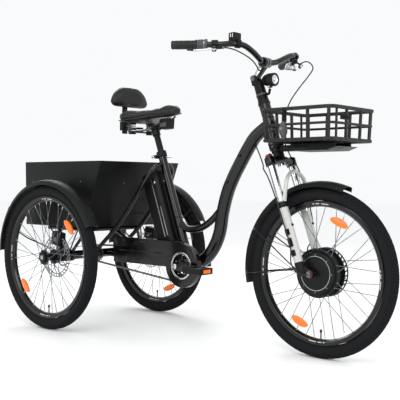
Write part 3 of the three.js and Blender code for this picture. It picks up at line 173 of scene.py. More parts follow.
class Shape:
    """Closed shells gathered into one mesh, each with its own finish."""

    def __init__(self):
        self.mesh = bpy.data.meshes.new("shape")
        self.bm = bmesh.new()

    def take(self, part, finish=0, bevel=0.0, steps=2, flip=False):
        bmesh.ops.remove_doubles(part, verts=part.verts, dist=1e-4)
        bmesh.ops.recalc_face_normals(part, faces=part.faces)
        if bevel:
            edges = [e for e in part.edges if len(e.link_faces) == 2 and e.calc_face_angle() > SHARP]
            bmesh.ops.bevel(part, geom=edges, offset=bevel, segments=steps, profile=0.5,
                            affect="EDGES", clamp_overlap=True)
        for face in part.faces:
            face.material_index = finish
        part.to_mesh(self.mesh)
        part.free()
        self.bm.from_mesh(self.mesh)
        return self

    def loft(self, rings, finish=0, closed=False, capped=True, bevel=0.0):
        """Rings of points joined one to the next; the first and last are capped."""
        part = bmesh.new()
        rows = [[part.verts.new(p) for p in ring] for ring in rings]
        count = len(rows[0])
        pairs = list(zip(rows, rows[1:]))
        if closed:
            pairs.append((rows[-1], rows[0]))
        for a, b in pairs:
            for k in range(count):
                j = (k + 1) % count
                part.faces.new((a[k], a[j], b[j], b[k]))
        if capped and not closed:
            part.faces.new(rows[0])
            part.faces.new(rows[-1])
        return self.take(part, finish, bevel)

    def rod(self, start, end, radius, end_radius=None, finish=0, sides=24, bevel=0.0):
        start, end = Vector(start), Vector(end)
        a, b = turned_frame((end - start).normalized())
        rings = []
        for centre, r in ((start, radius), (end, radius if end_radius is None else end_radius)):
            rings.append([centre + (a * math.cos(t) + b * math.sin(t)) * r
                          for t in (2 * math.pi * k / sides for k in range(sides))])
        return self.loft(rings, finish, bevel=bevel)

    def tube(self, points, radius, finish=0, sides=16, steps=6, flat=1.0, smooth=True):
        """A tube along a smooth line. radius may be a list, one for each given point."""
        line = curve_points(points, steps) if smooth else [Vector(p) for p in points]
        radii = radius if isinstance(radius, (list, tuple)) else None
        rings = []
        side = None
        for k, point in enumerate(line):
            along = (line[min(k + 1, len(line) - 1)] - line[max(k - 1, 0)]).normalized()
            if side is None:
                side, _ = turned_frame(along)
            side = (side - along * side.dot(along)).normalized()
            other = side.cross(along)
            size = radius
            if radii:
                place = k / (len(line) - 1) * (len(radii) - 1)
                low = min(int(place), len(radii) - 2)
                size = radii[low] + (radii[low + 1] - radii[low]) * (place - low)
            rings.append([point + (side * math.cos(t) + other * math.sin(t) * flat) * size
                          for t in (2 * math.pi * j / sides for j in range(sides))])
        return self.loft(rings, finish)

    def turned(self, profile, centre, axis=LEFT, finish=0, segments=48, bevel=0.0):
        """A body of revolution; profile is [radius, distance along the axis] pairs."""
        centre, axis = Vector(centre), Vector(axis).normalized()
        a, b = turned_frame(axis)
        closed = profile[0] == profile[-1]
        pairs = profile[:-1] if closed else profile
        part = bmesh.new()
        rows = []
        for k in range(segments):
            t = 2 * math.pi * k / segments
            out = a * math.cos(t) + b * math.sin(t)
            rows.append([part.verts.new(centre + out * r + axis * d) for r, d in pairs])
        count = len(pairs)
        for k in range(segments):
            one, two = rows[k], rows[(k + 1) % segments]
            for j in range(count if closed else count - 1):
                i = (j + 1) % count
                part.faces.new((one[j], one[i], two[i], two[j]))
        bmesh.ops.remove_doubles(part, verts=part.verts, dist=1e-4)
        loose = [e for e in part.edges if len(e.link_faces) == 1]
        if loose:
            bmesh.ops.holes_fill(part, edges=loose, sides=0)
        return self.take(part, finish, bevel)

    def ring(self, inner, outer, low, high, centre, axis=LEFT, finish=0, segments=64, bevel=0.0):
        profile = [(inner, low), (outer, low), (outer, high), (inner, high), (inner, low)]
        return self.turned(profile, centre, axis, finish, segments, bevel)

    def hull(self, points, finish=0, bevel=0.0, steps=2):
        part = bmesh.new()
        for point in points:
            part.verts.new(point)
        made = bmesh.ops.convex_hull(part, input=part.verts)
        spare = [v for v in part.verts if not v.link_faces]
        bmesh.ops.delete(part, geom=spare, context="VERTS")
        bmesh.ops.dissolve_limit(part, angle_limit=math.radians(1), verts=part.verts, edges=part.edges)
        return self.take(part, finish, bevel, steps)

    def box(self, low, high, finish=0, bevel=1.5, steps=2):
        corners = [Vector((x, y, z)) for x in (low[0], high[0]) for y in (low[1], high[1])
                   for z in (low[2], high[2])]
        return self.hull(corners, finish, bevel, steps)

    def bar(self, start, end, width, height=None, finish=0, bevel=1.5):
        """A straight bar of rectangular section."""
        start, end = Vector(start), Vector(end)
        side, up = turned_frame((end - start).normalized())
        height = width if height is None else height
        corners = [p + side * (width / 2 * i) + up * (height / 2 * j)
                   for p in (start, end) for i in (-1, 1) for j in (-1, 1)]
        return self.hull(corners, finish, bevel)

    def plate(self, outline, low, high, axis="Y", finish=0, bevel=0.0):
        """An outline given a thickness: (x, z) along y, (y, z) along x, or (x, y) along z."""
        place = {"Y": lambda a, b, t: (a, t, b), "X": lambda a, b, t: (t, a, b),
                 "Z": lambda a, b, t: (a, b, t)}[axis]
        return self.loft([[place(a, b, t) for a, b in outline] for t in (low, high)], finish, bevel=bevel)

    def sleeve(self, start, end, inner, outer, finish=0, bevel=0.8):
        """An open tube between two points."""
        start, end = Vector(start), Vector(end)
        return self.ring(inner, outer, 0, (end - start).length, start, end - start, finish, 32, bevel)

    def screw(self, centre, out, radius, finish=0, height=2.0, sides=6):
        """A small bolt head with a washer under it."""
        centre, out = Vector(centre), Vector(out).normalized()
        self.rod(centre - out * 1.5, centre + out * 0.8, radius * 1.35, finish=finish, sides=20)
        return self.rod(centre, centre + out * (height + 0.8), radius, finish=finish, sides=sides, bevel=0.4)

    def weld(self, centre, axis, radius, finish=0):
        """A bead of weld round a tube."""
        profile = [(radius - 2, -3), (radius + 0.5, -3), (radius + 2, 0), (radius + 0.5, 3),
                   (radius - 2, 3), (radius - 2, -3)]
        return self.turned(profile, centre, axis, finish, 32)

    def join(self, other, matrix=None):
        other.bm.to_mesh(self.mesh)
        if matrix:
            self.mesh.transform(matrix)
        self.bm.from_mesh(self.mesh)
        other.bm.free()
        return self

    def object(self, name, finishes, smooth=SHARP, placed=True):
        """The shape as an object at the origin, in metres unless it isn't to be placed yet."""
        mesh = bpy.data.meshes.new(name)
        self.bm.to_mesh(mesh)
        self.bm.free()
        bpy.data.meshes.remove(self.mesh)
        if placed:
            mesh.transform(PLACE)
        for finish in finishes:
            mesh.materials.append(material(finish))
        mesh.polygons.foreach_set("use_smooth", [True] * len(mesh.polygons))
        mesh.set_sharp_from_angle(angle=smooth)
        made = bpy.data.objects.new(name, mesh)
        bpy.context.scene.collection.objects.link(made)
        return made


def settle(piece, body, finish, *nodes):
    """Ties a finished object to its body and hides the CAD nodes it stands for; finish is not used."""
    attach(piece, body)
    if nodes:
        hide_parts(*nodes)
    return piece


def make(name, shape, body, finishes, *nodes):
    finishes = finishes if isinstance(finishes, (list, tuple)) else [finishes]
    return settle(shape.object(name, finishes), body, finishes[0], *nodes)


# ---------------------------------------------------------------- materials
# The materials made so far, one for each finish.
MADE = {}


def linear(hex_colour, alpha=1.0):
    """An sRGB hex colour as the linear values that shaders take."""
    channels = [int(hex_colour[k:k + 2], 16) / 255 for k in (1, 3, 5)]
    return (*[c / 12.92 if c <= 0.04045 else ((c + 0.055) / 1.055) ** 2.4 for c in channels], alpha)


def node(tree, kind, inputs=None, **settings):
    """Adds a node; an input is a value or another node's output socket."""
    made = tree.nodes.new(kind)
    for name, value in settings.items():
        setattr(made, name, value)
    for name, value in (inputs or {}).items():
        if isinstance(value, bpy.types.NodeSocket):
            tree.links.new(value, made.inputs[name])
        else:
            made.inputs[name].default_value = value
    return made


def finish_of(name, colour, roughness, metallic=0.0, grain=0.8, depth=0.02, spread=0.06,
              cells=False, stretch=(1, 1, 1), wear=0.06, patch=40.0, **sockets):
    """A surface with a grain of a real size in millimetres, and slow changes of shade and gloss."""
    made = bpy.data.materials.new(name)
    made.use_nodes = True
    tree = made.node_tree
    tree.nodes.clear()
    place = node(tree, "ShaderNodeTexCoord").outputs["Object"]
    place = node(tree, "ShaderNodeMapping", {"Vector": place, "Scale": stretch}).outputs["Vector"]
    slow = node(tree, "ShaderNodeTexNoise", {"Vector": place, "Scale": 1000 / patch, "Detail": 4.0})
    fine = node(tree, "ShaderNodeTexNoise", {"Vector": place, "Scale": 1000 / grain, "Detail": 3.0})
    height = fine.outputs["Fac"]
    if cells:
        cell = node(tree, "ShaderNodeTexVoronoi", {"Vector": place, "Scale": 1000 / grain},
                    feature="DISTANCE_TO_EDGE")
        height = node(tree, "ShaderNodeMapRange", {"Value": cell.outputs["Distance"], "From Max": 0.25}
                      ).outputs["Result"]
    shade = node(tree, "ShaderNodeMapRange", {
        "Value": slow.outputs["Fac"], "From Min": 0.3, "From Max": 0.7,
        "To Min": 1 - spread, "To Max": 1 + spread})
    tone = node(tree, "ShaderNodeHueSaturation", {
        "Color": linear(colour) if isinstance(colour, str) else (*colour, 1.0),
        "Value": shade.outputs["Result"]})
    gloss = node(tree, "ShaderNodeMapRange", {
        "Value": slow.outputs["Fac"], "From Min": 0.25, "From Max": 0.75,
        "To Min": max(roughness - wear, 0.02), "To Max": min(roughness + wear, 1.0)})
    bump = node(tree, "ShaderNodeBump", {"Height": height, "Strength": 0.35, "Distance": depth / 1000})
    shader = node(tree, "ShaderNodeBsdfPrincipled", {
        "Base Color": tone.outputs["Color"], "Roughness": gloss.outputs["Result"],
        "Metallic": metallic, "Normal": bump.outputs["Normal"], **sockets})
    output = node(tree, "ShaderNodeOutputMaterial", {"Surface": shader.outputs["BSDF"]})
    output.location = (600, 0)
    return made


# Each entry starts from what the real surface is; the numbers are grain size and relief in mm.
FINISHES = {
    # stoved enamel over steel: deep black, a clear reflection with a faint orange peel
    "gloss_enamel": dict(colour="#040405", roughness=0.18, grain=3.0, depth=0.03, spread=0.1,
                         **{"Coat Weight": 0.2, "Coat Roughness": 0.08, "Specular IOR Level": 0.3}),
    # powder coat: fine pebbling that breaks the highlight
    "powder_coat": dict(colour="#08090a", roughness=0.45, grain=1.2, depth=0.06, spread=0.08,
                        **{"Specular IOR Level": 0.2}),
    # glass-filled nylon, spark-eroded mould: even matt grain
    "moulded_nylon": dict(colour="#0a0a0b", roughness=0.5, grain=0.9, depth=0.08, spread=0.07,
                          **{"Specular IOR Level": 0.2}),
    # warm grey polypropylene, moulded with a leather-like grain
    "basket_polypropylene": dict(colour="#191816", roughness=0.48, grain=1.4, depth=0.1, cells=True,
                                 spread=0.1, **{"Specular IOR Level": 0.3}),
    # vulcanised rubber: dull, a little dusty in patches
    "tread_rubber": dict(colour="#141517", roughness=0.8, grain=2.0, depth=0.15, spread=0.16,
                         patch=25.0, **{"Specular IOR Level": 0.15}),
    # fine-brushed and anodised aluminium: soft wide highlight
    "anodised_silver": dict(colour="#a9acaf", roughness=0.34, metallic=1.0, grain=0.6, depth=0.02,
                            stretch=(1, 1, 8)),
    # polished aluminium: bright, almost a mirror
    "polished_silver": dict(colour="#c9cccf", roughness=0.16, metallic=1.0, grain=4.0, depth=0.01),
    # zinc-plated steel: grey and slightly mottled
    "zinc_steel": dict(colour="#6c7073", roughness=0.36, metallic=1.0, grain=1.5, depth=0.03,
                       spread=0.14, patch=8.0),
    # wet white paint on the fork's cast lowers
    "white_enamel": dict(colour="#b9b9b5", roughness=0.25, grain=3.0, depth=0.02, spread=0.03,
                         **{"Coat Weight": 0.5, "Coat Roughness": 0.1}),
    # red anodised aluminium
    "red_anodised": dict(colour="#a02027", roughness=0.3, metallic=0.85, grain=0.7, depth=0.02),
    # soft grey over-moulding
    "grey_elastomer": dict(colour="#3b3c40", roughness=0.55, grain=0.8, depth=0.05),
    # black rubber of grips, cable jackets and seals
    "grip_rubber": dict(colour="#09090a", roughness=0.65, grain=1.0, depth=0.08, spread=0.1),
    # vinyl-coated fabric of the saddle and back rest: pebbled, with a broad soft sheen
    "coated_vinyl": dict(colour="#0c0c0c", roughness=0.36, grain=2.2, depth=0.18, cells=True,
                         spread=0.12, **{"Sheen Weight": 0.08, "Sheen Roughness": 0.5,
                                         "Specular IOR Level": 0.3}),
    # the welt sewn into the cover's edge
    "vinyl_piping": dict(colour="#101011", roughness=0.34, grain=1.5, depth=0.05),
    # prismatic acrylic: cells of about 3 mm catch the light; the amber one also has a faint orange emission,
    # a painted glow though it is no lamp
    "amber_reflector": dict(colour="#f06a00", roughness=0.2, grain=3.2, depth=0.4, cells=True,
                            **{"Coat Weight": 0.3, "Emission Color": (1.0, 0.22, 0.0, 1.0),
                               "Emission Strength": 0.12}),
    "red_lens": dict(colour="#8d1016", roughness=0.16, grain=3.6, depth=0.5, cells=True,
                     **{"Coat Weight": 0.8}),
    # clear polycarbonate over a bright reflector
    "clear_lens": dict(colour="#d6dbdf", roughness=0.1, metallic=0.6, grain=5.0, depth=0.4,
                       cells=True, **{"Coat Weight": 1.0}),
    # printed white marks
    "screen_white": dict(colour="#dfe2e4", roughness=0.35, grain=2.0, depth=0.01, spread=0.02),
}


# The finishes whose colour a user can change.
CHOSEN = {
    "gloss_enamel": "frame_colour",
    "basket_polypropylene": "basket_colour",
    "white_enamel": "fork_colour",
    "coated_vinyl": "seat_colour",
}


def material(name):
    if name not in MADE:
        values = dict(FINISHES[name])
        if name in CHOSEN:
            values["colour"] = tuple(getattr(bpy.context.scene.tricycle_finishes, CHOSEN[name]))
        MADE[name] = finish_of(name, **values)
    return MADE[name]


# ---------------------------------------------------------------- geometry node trees
def new_tree(name, sockets):
    tree = bpy.data.node_groups.new(name, "GeometryNodeTree")
    for label, kind, default in sockets:
        made = tree.interface.new_socket(name=label, in_out="INPUT", socket_type=kind)
        if default is not None:
            made.default_value = default
    tree.interface.new_socket(name="Geometry", in_out="OUTPUT", socket_type="NodeSocketGeometry")
    return tree, node(tree, "NodeGroupInput"), node(tree, "NodeGroupOutput")


def close_tree(tree, output, instances, finish):
    real = node(tree, "GeometryNodeRealizeInstances", {"Geometry": instances})
    painted = node(tree, "GeometryNodeSetMaterial", {
        "Geometry": real.outputs["Geometry"], "Material": finish})
    tree.links.new(painted.outputs["Geometry"], output.inputs["Geometry"])
    return tree


def wheel_array():
    """Copies of a template turned about an axis along y: spokes, tread, teeth, bolts."""
    tree, given, output = new_tree("Turned copies", [
        ("Geometry", "NodeSocketGeometry", None), ("Template", "NodeSocketObject", None),
        ("Count", "NodeSocketInt", 12), ("Centre", "NodeSocketVector", (0, 0, 0)),
        ("Finish", "NodeSocketMaterial", None)])
    share = node(tree, "ShaderNodeMath", {0: 2 * math.pi, 1: given.outputs["Count"]}, operation="DIVIDE")
    index = node(tree, "GeometryNodeInputIndex")
    angle = node(tree, "ShaderNodeMath", {0: share.outputs[0], 1: index.outputs[0]}, operation="MULTIPLY")
    turn = node(tree, "ShaderNodeCombineXYZ", {"Y": angle.outputs[0]})
    points = node(tree, "GeometryNodePoints", {
        "Count": given.outputs["Count"], "Position": given.outputs["Centre"]})
    shape = node(tree, "GeometryNodeObjectInfo", {"Object": given.outputs["Template"]})
    copies = node(tree, "GeometryNodeInstanceOnPoints", {
        "Points": points.outputs[0], "Instance": shape.outputs["Geometry"],
        "Rotation": turn.outputs[0]})
    return close_tree(tree, output, copies.outputs[0], given.outputs["Finish"])


def grown(name, tree, finish, **inputs):
    """Runs a tree on an empty mesh and keeps its result as a plain mesh object."""
    host = bpy.data.objects.new(name + "_host", bpy.data.meshes.new(name))
    bpy.context.scene.collection.objects.link(host)
    modifier = host.modifiers.new("copies", "NODES")
    modifier.node_group = tree
    inputs["Finish"] = material(finish)
    for item in tree.interface.items_tree:
        if item.in_out == "INPUT" and item.name in inputs:
            modifier[item.identifier] = inputs[item.name]
    bpy.context.view_layer.update()
    evaluated = host.evaluated_get(bpy.context.evaluated_depsgraph_get())
    mesh = bpy.data.meshes.new_from_object(evaluated)
    mesh.name = name
    bpy.data.objects.remove(host)
    bpy.data.objects.remove(inputs["Template"])
    made = bpy.data.objects.new(name, mesh)
    bpy.context.scene.collection.objects.link(made)
    return made


def turned_copies(name, shape, count, centre, body, finish):
    """A template drawn round the origin in millimetres, repeated about a wheel-like centre."""
    template = shape.object(name + "_template", [finish], placed=False)
    template.data.transform(Matrix.Scale(0.001, 4))
    made = grown(name, wheel_array(), finish, Template=template, Count=count,
                 Centre=PLACE @ Vector(centre))
    return settle(made, body, finish)


# ---------------------------------------------------------------- wheels
WHEELS = {
    "rear_right": dict(x=0, y=-TRACK / 2, body="rear_wheel_right", tyre="rear_tyre_right",
                       rim="rear_rim_right", flange=31, near=-24, far=27, lead=0.62),
    "rear_left": dict(x=0, y=TRACK / 2, body="rear_wheel_left", tyre="rear_tyre_left",
                      rim="rear_rim_left", flange=31, near=-27, far=24, lead=0.62),
    "front": dict(x=WHEELBASE, y=0, body="front_wheel", tyre="front_tyre", rim="front_rim",
                  flange=MOTOR_RADIUS + 8, near=-22, far=22, lead=0.3),
}

REFLECTOR_ANGLE = {"rear_wheel_right": 42, "rear_wheel_left": 112, "front_wheel": 66}


def tread_block(shape, across, shift, length, width):
    """One diamond of the tread, standing on the casing at an angle across the section."""
    casing = TYRE_RADIUS - 2.2
    centre = Vector((0, 0, WHEEL_RADIUS - TYRE_RADIUS))
    out = Vector((0, math.sin(across), math.cos(across)))
    side = Vector((0, math.cos(across), -math.sin(across)))
    ahead = Vector((1, 0, 0))
    corners = []
    for height, share in ((casing - 0.6, 1.0), (TYRE_RADIUS - 0.1, 0.72)):
        middle = centre + out * height
        corners += [middle + ahead * (length / 2 * share), middle - ahead * (length / 2 * share),
                    middle + side * (width / 2 * share), middle - side * (width / 2 * share)]
    turn = Matrix.Rotation(shift, 4, "Y")
    shape.hull([turn @ c for c in corners])


def build_tyre(wheel, name, tread_count):
    centre = Vector((wheel["x"], wheel["y"], WHEEL_RADIUS))
    middle = WHEEL_RADIUS - TYRE_RADIUS
    casing = TYRE_RADIUS - 2.2
    bead = math.acos((RIM_RADIUS + 0.4 - middle) / casing)
    steps = 22
    profile = [(middle + casing * math.cos(a), casing * math.sin(a))
               for a in (-bead + 2 * bead * k / steps for k in range(steps + 1))]
    profile.append(profile[0])
    shape = Shape()
    shape.turned(profile, centre, segments=128)
    for side in (-1, 1):  # moulding lines round the side walls
        for radius, half in ((268, 19.4), (288, 21.6)):
            shape.turned([(radius, side * half), (radius + 1.2, side * (half + 0.9)),
                          (radius + 2.4, side * half), (radius, side * half)], centre, segments=96)
    make(wheel["tyre"] + "_casing", shape, wheel["body"], "tread_rubber", wheel["tyre"])
    pitch = 2 * math.pi / tread_count
    blocks = Shape()
    for row in range(-4, 5):
        tread_block(blocks, row * 0.23, pitch / 2 * (row % 2), 19 - abs(row), 11 - abs(row) * 0.3)
    turned_copies(wheel["tyre"] + "_tread", blocks, tread_count, centre, wheel["body"], "tread_rubber")


def build_rim(wheel, name, spoke_count):
    centre = Vector((wheel["x"], wheel["y"], WHEEL_RADIUS))
    outer, inner, half = RIM_RADIUS - 0.5, RIM_RADIUS - 22, 14
    shape = Shape()
    side = [(outer, half), (outer - 9, half), (outer - 15, half - 2), (inner + 1, 5), (inner, 2.5)]
    profile = [*[(r, -y) for r, y in side], *reversed(side), (outer, half - 2), (outer - 3, half - 4),
               (outer - 3, 4 - half), (outer, 2 - half)]
    profile.append(profile[0])
    shape.turned(profile, centre, segments=128)
    valve = Vector((wheel["x"] + 4, wheel["y"], WHEEL_RADIUS - inner))
    shape.rod(valve, valve + UP * 24, 3.2, 2.6, finish=1, sides=14)
    shape.rod(valve + UP * 22, valve + UP * 33, 4.2, finish=2, sides=12, bevel=0.6)
    make(wheel["rim"] + "_extrusion", shape, wheel["body"],
         ["gloss_enamel", "zinc_steel", "moulded_nylon"], wheel["rim"])

    marks = Shape()
    for side in (-1, 1):
        for first, last in ((-9, -2), (0, 3.5), (5, 6.5)):
            low = arc(0, 0, outer - 12.5, first, last, 6)
            high = arc(0, 0, outer - 9.5, first, last, 6)
            face = [*low, *reversed(high)]
            near, far = sorted((side * (half - 1.4), side * (half + 0.25)))
            marks.plate(face, near, far)
    turned_copies(wheel["rim"] + "_marks", marks, 4, centre, wheel["body"], "white_enamel")

    spokes, nipples = Shape(), Shape()
    step = 2 * math.pi / spoke_count
    for k in range(4):
        flange = wheel["far"] if k % 2 else wheel["near"]
        angle = step * (k + 0.5)
        lead = angle + (wheel["lead"] if k < 2 else -wheel["lead"])
        foot = Vector((wheel["flange"] * math.cos(lead), flange, wheel["flange"] * math.sin(lead)))
        tip = Vector(((inner + 2) * math.cos(angle), 0.14 * flange, (inner + 2) * math.sin(angle)))
        spokes.rod(foot, tip, 1.25, sides=8)
        spokes.rod(foot - LEFT * 3, foot + LEFT * 3, 1.9, sides=8)
        back = (foot - tip).normalized()
        nipples.rod(tip, tip + back * 13, 2.2, 1.7, sides=8)
    turned_copies(wheel["rim"] + "_spokes", spokes, spoke_count // 4, centre, wheel["body"],
                  "zinc_steel")
    turned_copies(wheel["rim"] + "_nipples", nipples, spoke_count // 4, centre, wheel["body"],
                  "polished_silver")

    reflectors = Shape()
    out = 1 if wheel["y"] > 0 else -1
    low, high = sorted((out * 6, out * 15))
    middle = REFLECTOR_ANGLE[wheel["body"]]
    face = []
    for k in range(28):  # an oval that lies along the rim
        t = 2 * math.pi * k / 28
        radius, degrees = 200 + 14 * math.sin(t), middle + 10.5 * math.cos(t)
        face.append((radius * math.cos(math.radians(degrees)), radius * math.sin(math.radians(degrees))))
    reflectors.plate(face, low, high, bevel=1.2)
    turned_copies(wheel["rim"] + "_reflectors", reflectors, 2, centre, wheel["body"],
                  "amber_reflector")


def rotor(shape, centre, band=0, spider=1):
    """A brake disc: two bands tied by slanted bridges, six curved arms and a bolted centre."""
    half = 0.95
    shape.ring(84.5, ROTOR_RADIUS - 0.3, -half, half, centre, finish=band)
    shape.ring(71, 75, -half, half, centre, finish=band)
    bridges = 30
    for k in range(bridges):
        t = 360 * k / bridges
        a = arc(centre.x, centre.z, 73, t, t + 4, 1)
        b = arc(centre.x, centre.z, 87, t + 7, t + 11, 1)
        shape.plate([a[0], a[1], b[1], b[0]], centre.y - half, centre.y + half, finish=band)
    for k in range(6):
        t = 60 * k
        line = [Vector((x, centre.y, z)) for x, z in (
            arc(centre.x, centre.z, 20, t, t, 1)[0], arc(centre.x, centre.z, 48, t + 13, t, 1)[0],
            arc(centre.x, centre.z, 73, t + 34, t, 1)[0])]
        flat_arm = Shape()
        flat_arm.tube(line, 4.2, finish=band, sides=8, steps=5)
        flatten = Matrix.Translation(centre) @ Matrix.Diagonal((1, 0.25, 1, 1)) \
            @ Matrix.Translation(-centre)
        shape.join(flat_arm, flatten)
    shape.ring(11, 30, -1.6, 1.6, centre, finish=spider, bevel=0.4)
    for k in range(6):
        x, z = arc(centre.x, centre.z, 22, 60 * k + 20, 0, 1)[0]
        for out in (-1, 1):
            shape.screw(Vector((x, centre.y + out * 1.6, z)), LEFT * out, 2.6, finish=spider, height=1.6)


def build_rear_hub(side, body, node_name):
    wheel_y = side * TRACK / 2
    z = WHEEL_RADIUS
    centre = Vector((0, wheel_y, z))
    out = LEFT * side
    shape = Shape()
    barrel = [(0, -54), (20, -54), (22, -52), (22, -48), (20, -46), (20, -32), (18, -29), (16.5, -22),
              (15.5, 0), (16.5, 20), (18, 26), (21.5, 28), (21.5, 33), (19, 35.6), (0, 35.6)]
    shape.turned(barrel, centre, out, segments=48)
    for place in (-27, 24):
        shape.turned([(15, place - 1.6), (29, place - 1.6), (31, place - 1), (31, place + 1),
                      (29, place + 1.6), (15, place + 1.6), (15, place - 1.6)], centre, out, segments=48)
    shape.turned([(0, 34), (11, 34), (11, 35), (9.4, 36), (0, 36)], centre, out, finish=1, segments=6)
    inner_end = CHAIN_LINE + 8 if side < 0 else 20
    shape.rod(Vector((0, inner_end, z)), Vector((0, wheel_y - side * 40, z)), 9.9, finish=1, sides=32)
    rotor(shape, Vector((0, wheel_y - side * REAR_ROTOR_INSET, z)), band=1, spider=1)
    make(node_name + "_turned", shape, body, ["powder_coat", "anodised_silver"], node_name)


def build_motor():
    centre = Vector((WHEELBASE, 0, WHEEL_RADIUS))
    shape = Shape()
    r = MOTOR_RADIUS
    shape.turned([
        (6.6, -38), (30, -38), (34, -37), (52, -37.5), (55, -36.5), (58, -34.5), (r - 8, -33),
        (r - 3, -30), (r, -25), (r, 25), (r - 3, 30), (r - 8, 33), (58, 34), (40, 34.5), (34, 36),
        (24, 36), (24, 45), (20, 45), (6.6, 45), (6.6, -38)], centre, segments=96)
    for y in (-22, 22):
        shape.turned([(r - 2, y - 1.6), (r + 7, y - 1.6), (r + 9.5, y - 0.8), (r + 9.5, y + 0.8),
                      (r + 7, y + 1.6), (r - 2, y + 1.6), (r - 2, y - 1.6)], centre, segments=96)
    shape.ring(60, 62, -34.9, -33, centre, finish=1)
    make("motor_hub_shell", shape, "front_wheel", ["powder_coat", "anodised_silver"], "motor_hub")
    bolts = Shape()
    bolts.screw(Vector((67, -33.6, 0)), -LEFT, 2.4, height=1.8)
    bolts.screw(Vector((67, 33.6, 0)), LEFT, 2.4, height=1.8)
    turned_copies("motor_hub_bolts", bolts, 8, centre, "front_wheel", "zinc_steel")
    ribs = Shape()
    ribs.bar(Vector((36, -37.2, 0)), Vector((54, -36.6, 0)), 1.6, 2.2, bevel=0.4)
    turned_copies("motor_hub_ribs", ribs, 24, centre, "front_wheel", "powder_coat")
    disc = Shape()
    rotor(disc, Vector((WHEELBASE, FRONT_ROTOR_INSET, WHEEL_RADIUS)), band=0, spider=0)
    disc.ring(24.3, 30, -1.8, 1.8, Vector((WHEELBASE, FRONT_ROTOR_INSET, WHEEL_RADIUS)))
    make("front_rotor_disc", disc, "front_wheel", "anodised_silver", "front_rotor")


# ---------------------------------------------------------------- frame
MAIN_TUBE = [steer(846), (850, 0, 800), (820, 0, 762), (778, 0, 700), (745, 0, 648), (716, 0, 590),
             (691, 0, 509), (676, 0, 430), (652, 0, 375), (612, 0, 326), (565, 0, 298), (534, 0, 290)]
BRACE = [seat(458), (490, 0, 437), (520, 0, 432), (566, 0, 438), (609, 0, 457), (648, 0, 486),
         (692, 0, 530)]


def build_front_frame():
    shape = Shape()
    shape.tube(MAIN_TUBE, 26, sides=32, steps=8)
    shape.tube(BRACE, 14, sides=24, steps=8)
    head_low, head_high = steer(HEAD_BOTTOM), steer(HEAD_TOP)
    length = (head_high - head_low).length
    shape.turned([(17.6, 0), (22, 0), (22, length), (17.6, length), (17.6, 0)], head_low, STEER_UP)
    for t in (0, length - 9):
        shape.turned([(17.6, t), (23, t), (23.6, t + 2), (23.6, t + 7), (23, t + 9), (17.6, t + 9),
                      (17.6, t)], head_low, STEER_UP, finish=1)
    shape.turned([(14.2, 0), (17, 0), (17, (seat(SEAT_TUBE_TOP) - seat(CRANK.z)).length),
                  (14.2, (seat(SEAT_TUBE_TOP) - seat(CRANK.z)).length), (14.2, 0)],
                 seat(CRANK.z), SEAT_UP)
    shape.turned([(10.6, -34), (19, -34), (20, -33), (20, 33), (19, 34), (10.6, 34), (10.6, -34)], CRANK)
    for side in (-1, 1):  # bearing cups
        low, high = sorted((side * 33.5, side * 38))
        shape.turned([(10.6, low), (21.5, low), (21.5, high), (10.6, high), (10.6, low)], CRANK,
                     finish=2, segments=24)
    shape.weld(steer(866), STEER_UP, 22)
    shape.weld(steer(812), STEER_UP, 22)
    shape.weld(seat(478), SEAT_UP, 17)
    shape.weld(seat(440), SEAT_UP, 17)
    shape.weld(seat(316), SEAT_UP, 17)
    brace_axis = (Vector(BRACE[1]) - Vector(BRACE[0])).normalized()
    shape.weld(Vector(BRACE[0]) + brace_axis * 16, brace_axis, 14)
    for z in (430, 640):  # rail that carries the battery
        shape.screw(seat(z, 0, 29), SEAT_BACK, 3.5, finish=2)
    rail = [seat(z, y, b) for z in (398, 630) for y in (-16, 16) for b in (15, 29)]
    shape.hull(rail, finish=1, bevel=1.5)
    # cable entry under the head: a boss, and two clips further down
    shape.rod((846, -4, 772), (857, -6, 763), 7, 5.5, finish=1, sides=20, bevel=1)
    for x, z in ((795, 728), (733, 626)):
        clip = Vector((x, -27, z))
        shape.box(clip - Vector((5, 4, 5)), clip + Vector((5, 2, 5)), finish=1, bevel=1.5)
    make("front_frame_tubes", shape, "frame", ["gloss_enamel", "powder_coat", "zinc_steel"],
         "front_frame")


def build_rear_frame():
    shape = Shape()
    z = WHEEL_RADIUS
    end = 262
    for low, high in ((-end, CHAIN_LINE - 12), (CHAIN_LINE + 12, end)):
        shape.turned([(11, low), (AXLE_TUBE_RADIUS, low), (AXLE_TUBE_RADIUS, high), (11, high),
                      (11, low)], (0, 0, z))
    shape.rod((-62, -92, z), (-62, 92, z), 9)
    for side in (-1, 1):
        y = side * 70
        shape.box((-66, side * 84 - 8, z - 9), (2, side * 84 + 8, z + 9), bevel=2)
        low, high = sorted((side * (end - 22), side * end))
        shape.turned([(AXLE_TUBE_RADIUS - 1, low), (24, low), (24, high), (AXLE_TUBE_RADIUS - 1, high),
                      (AXLE_TUBE_RADIUS - 1, low)], (0, 0, z), finish=1, bevel=1)
        shape.tube([(0, side * 26, z), (90, side * 25.5, 302), (400, side * 22.5, 292),
                    (CRANK.x - 14, side * 22, CRANK.z)], 10, sides=20, steps=4)
        shape.tube([(2, y, z + 6), (180, y, 462), (325, y, 636), (350, y * 0.9, 668),
                    (362, y * 0.55, 694), (seat(706).x - 4, side * 2, 706)], 9, sides=20, steps=8)
        shape.weld(Vector((12, y, 320)), Vector((178, 0, 151)), 9)
        shape.weld(Vector((20, side * 26, z)), Vector((1, 0, 0)), 10)
        for x, zz in ((120, 408), (240, 534)):
            shape.screw(Vector((x, y + side * 8.6, zz)), LEFT * side, 3, finish=1)
    make("rear_frame_tubes", shape, "frame", ["gloss_enamel", "powder_coat"], "rear_frame")


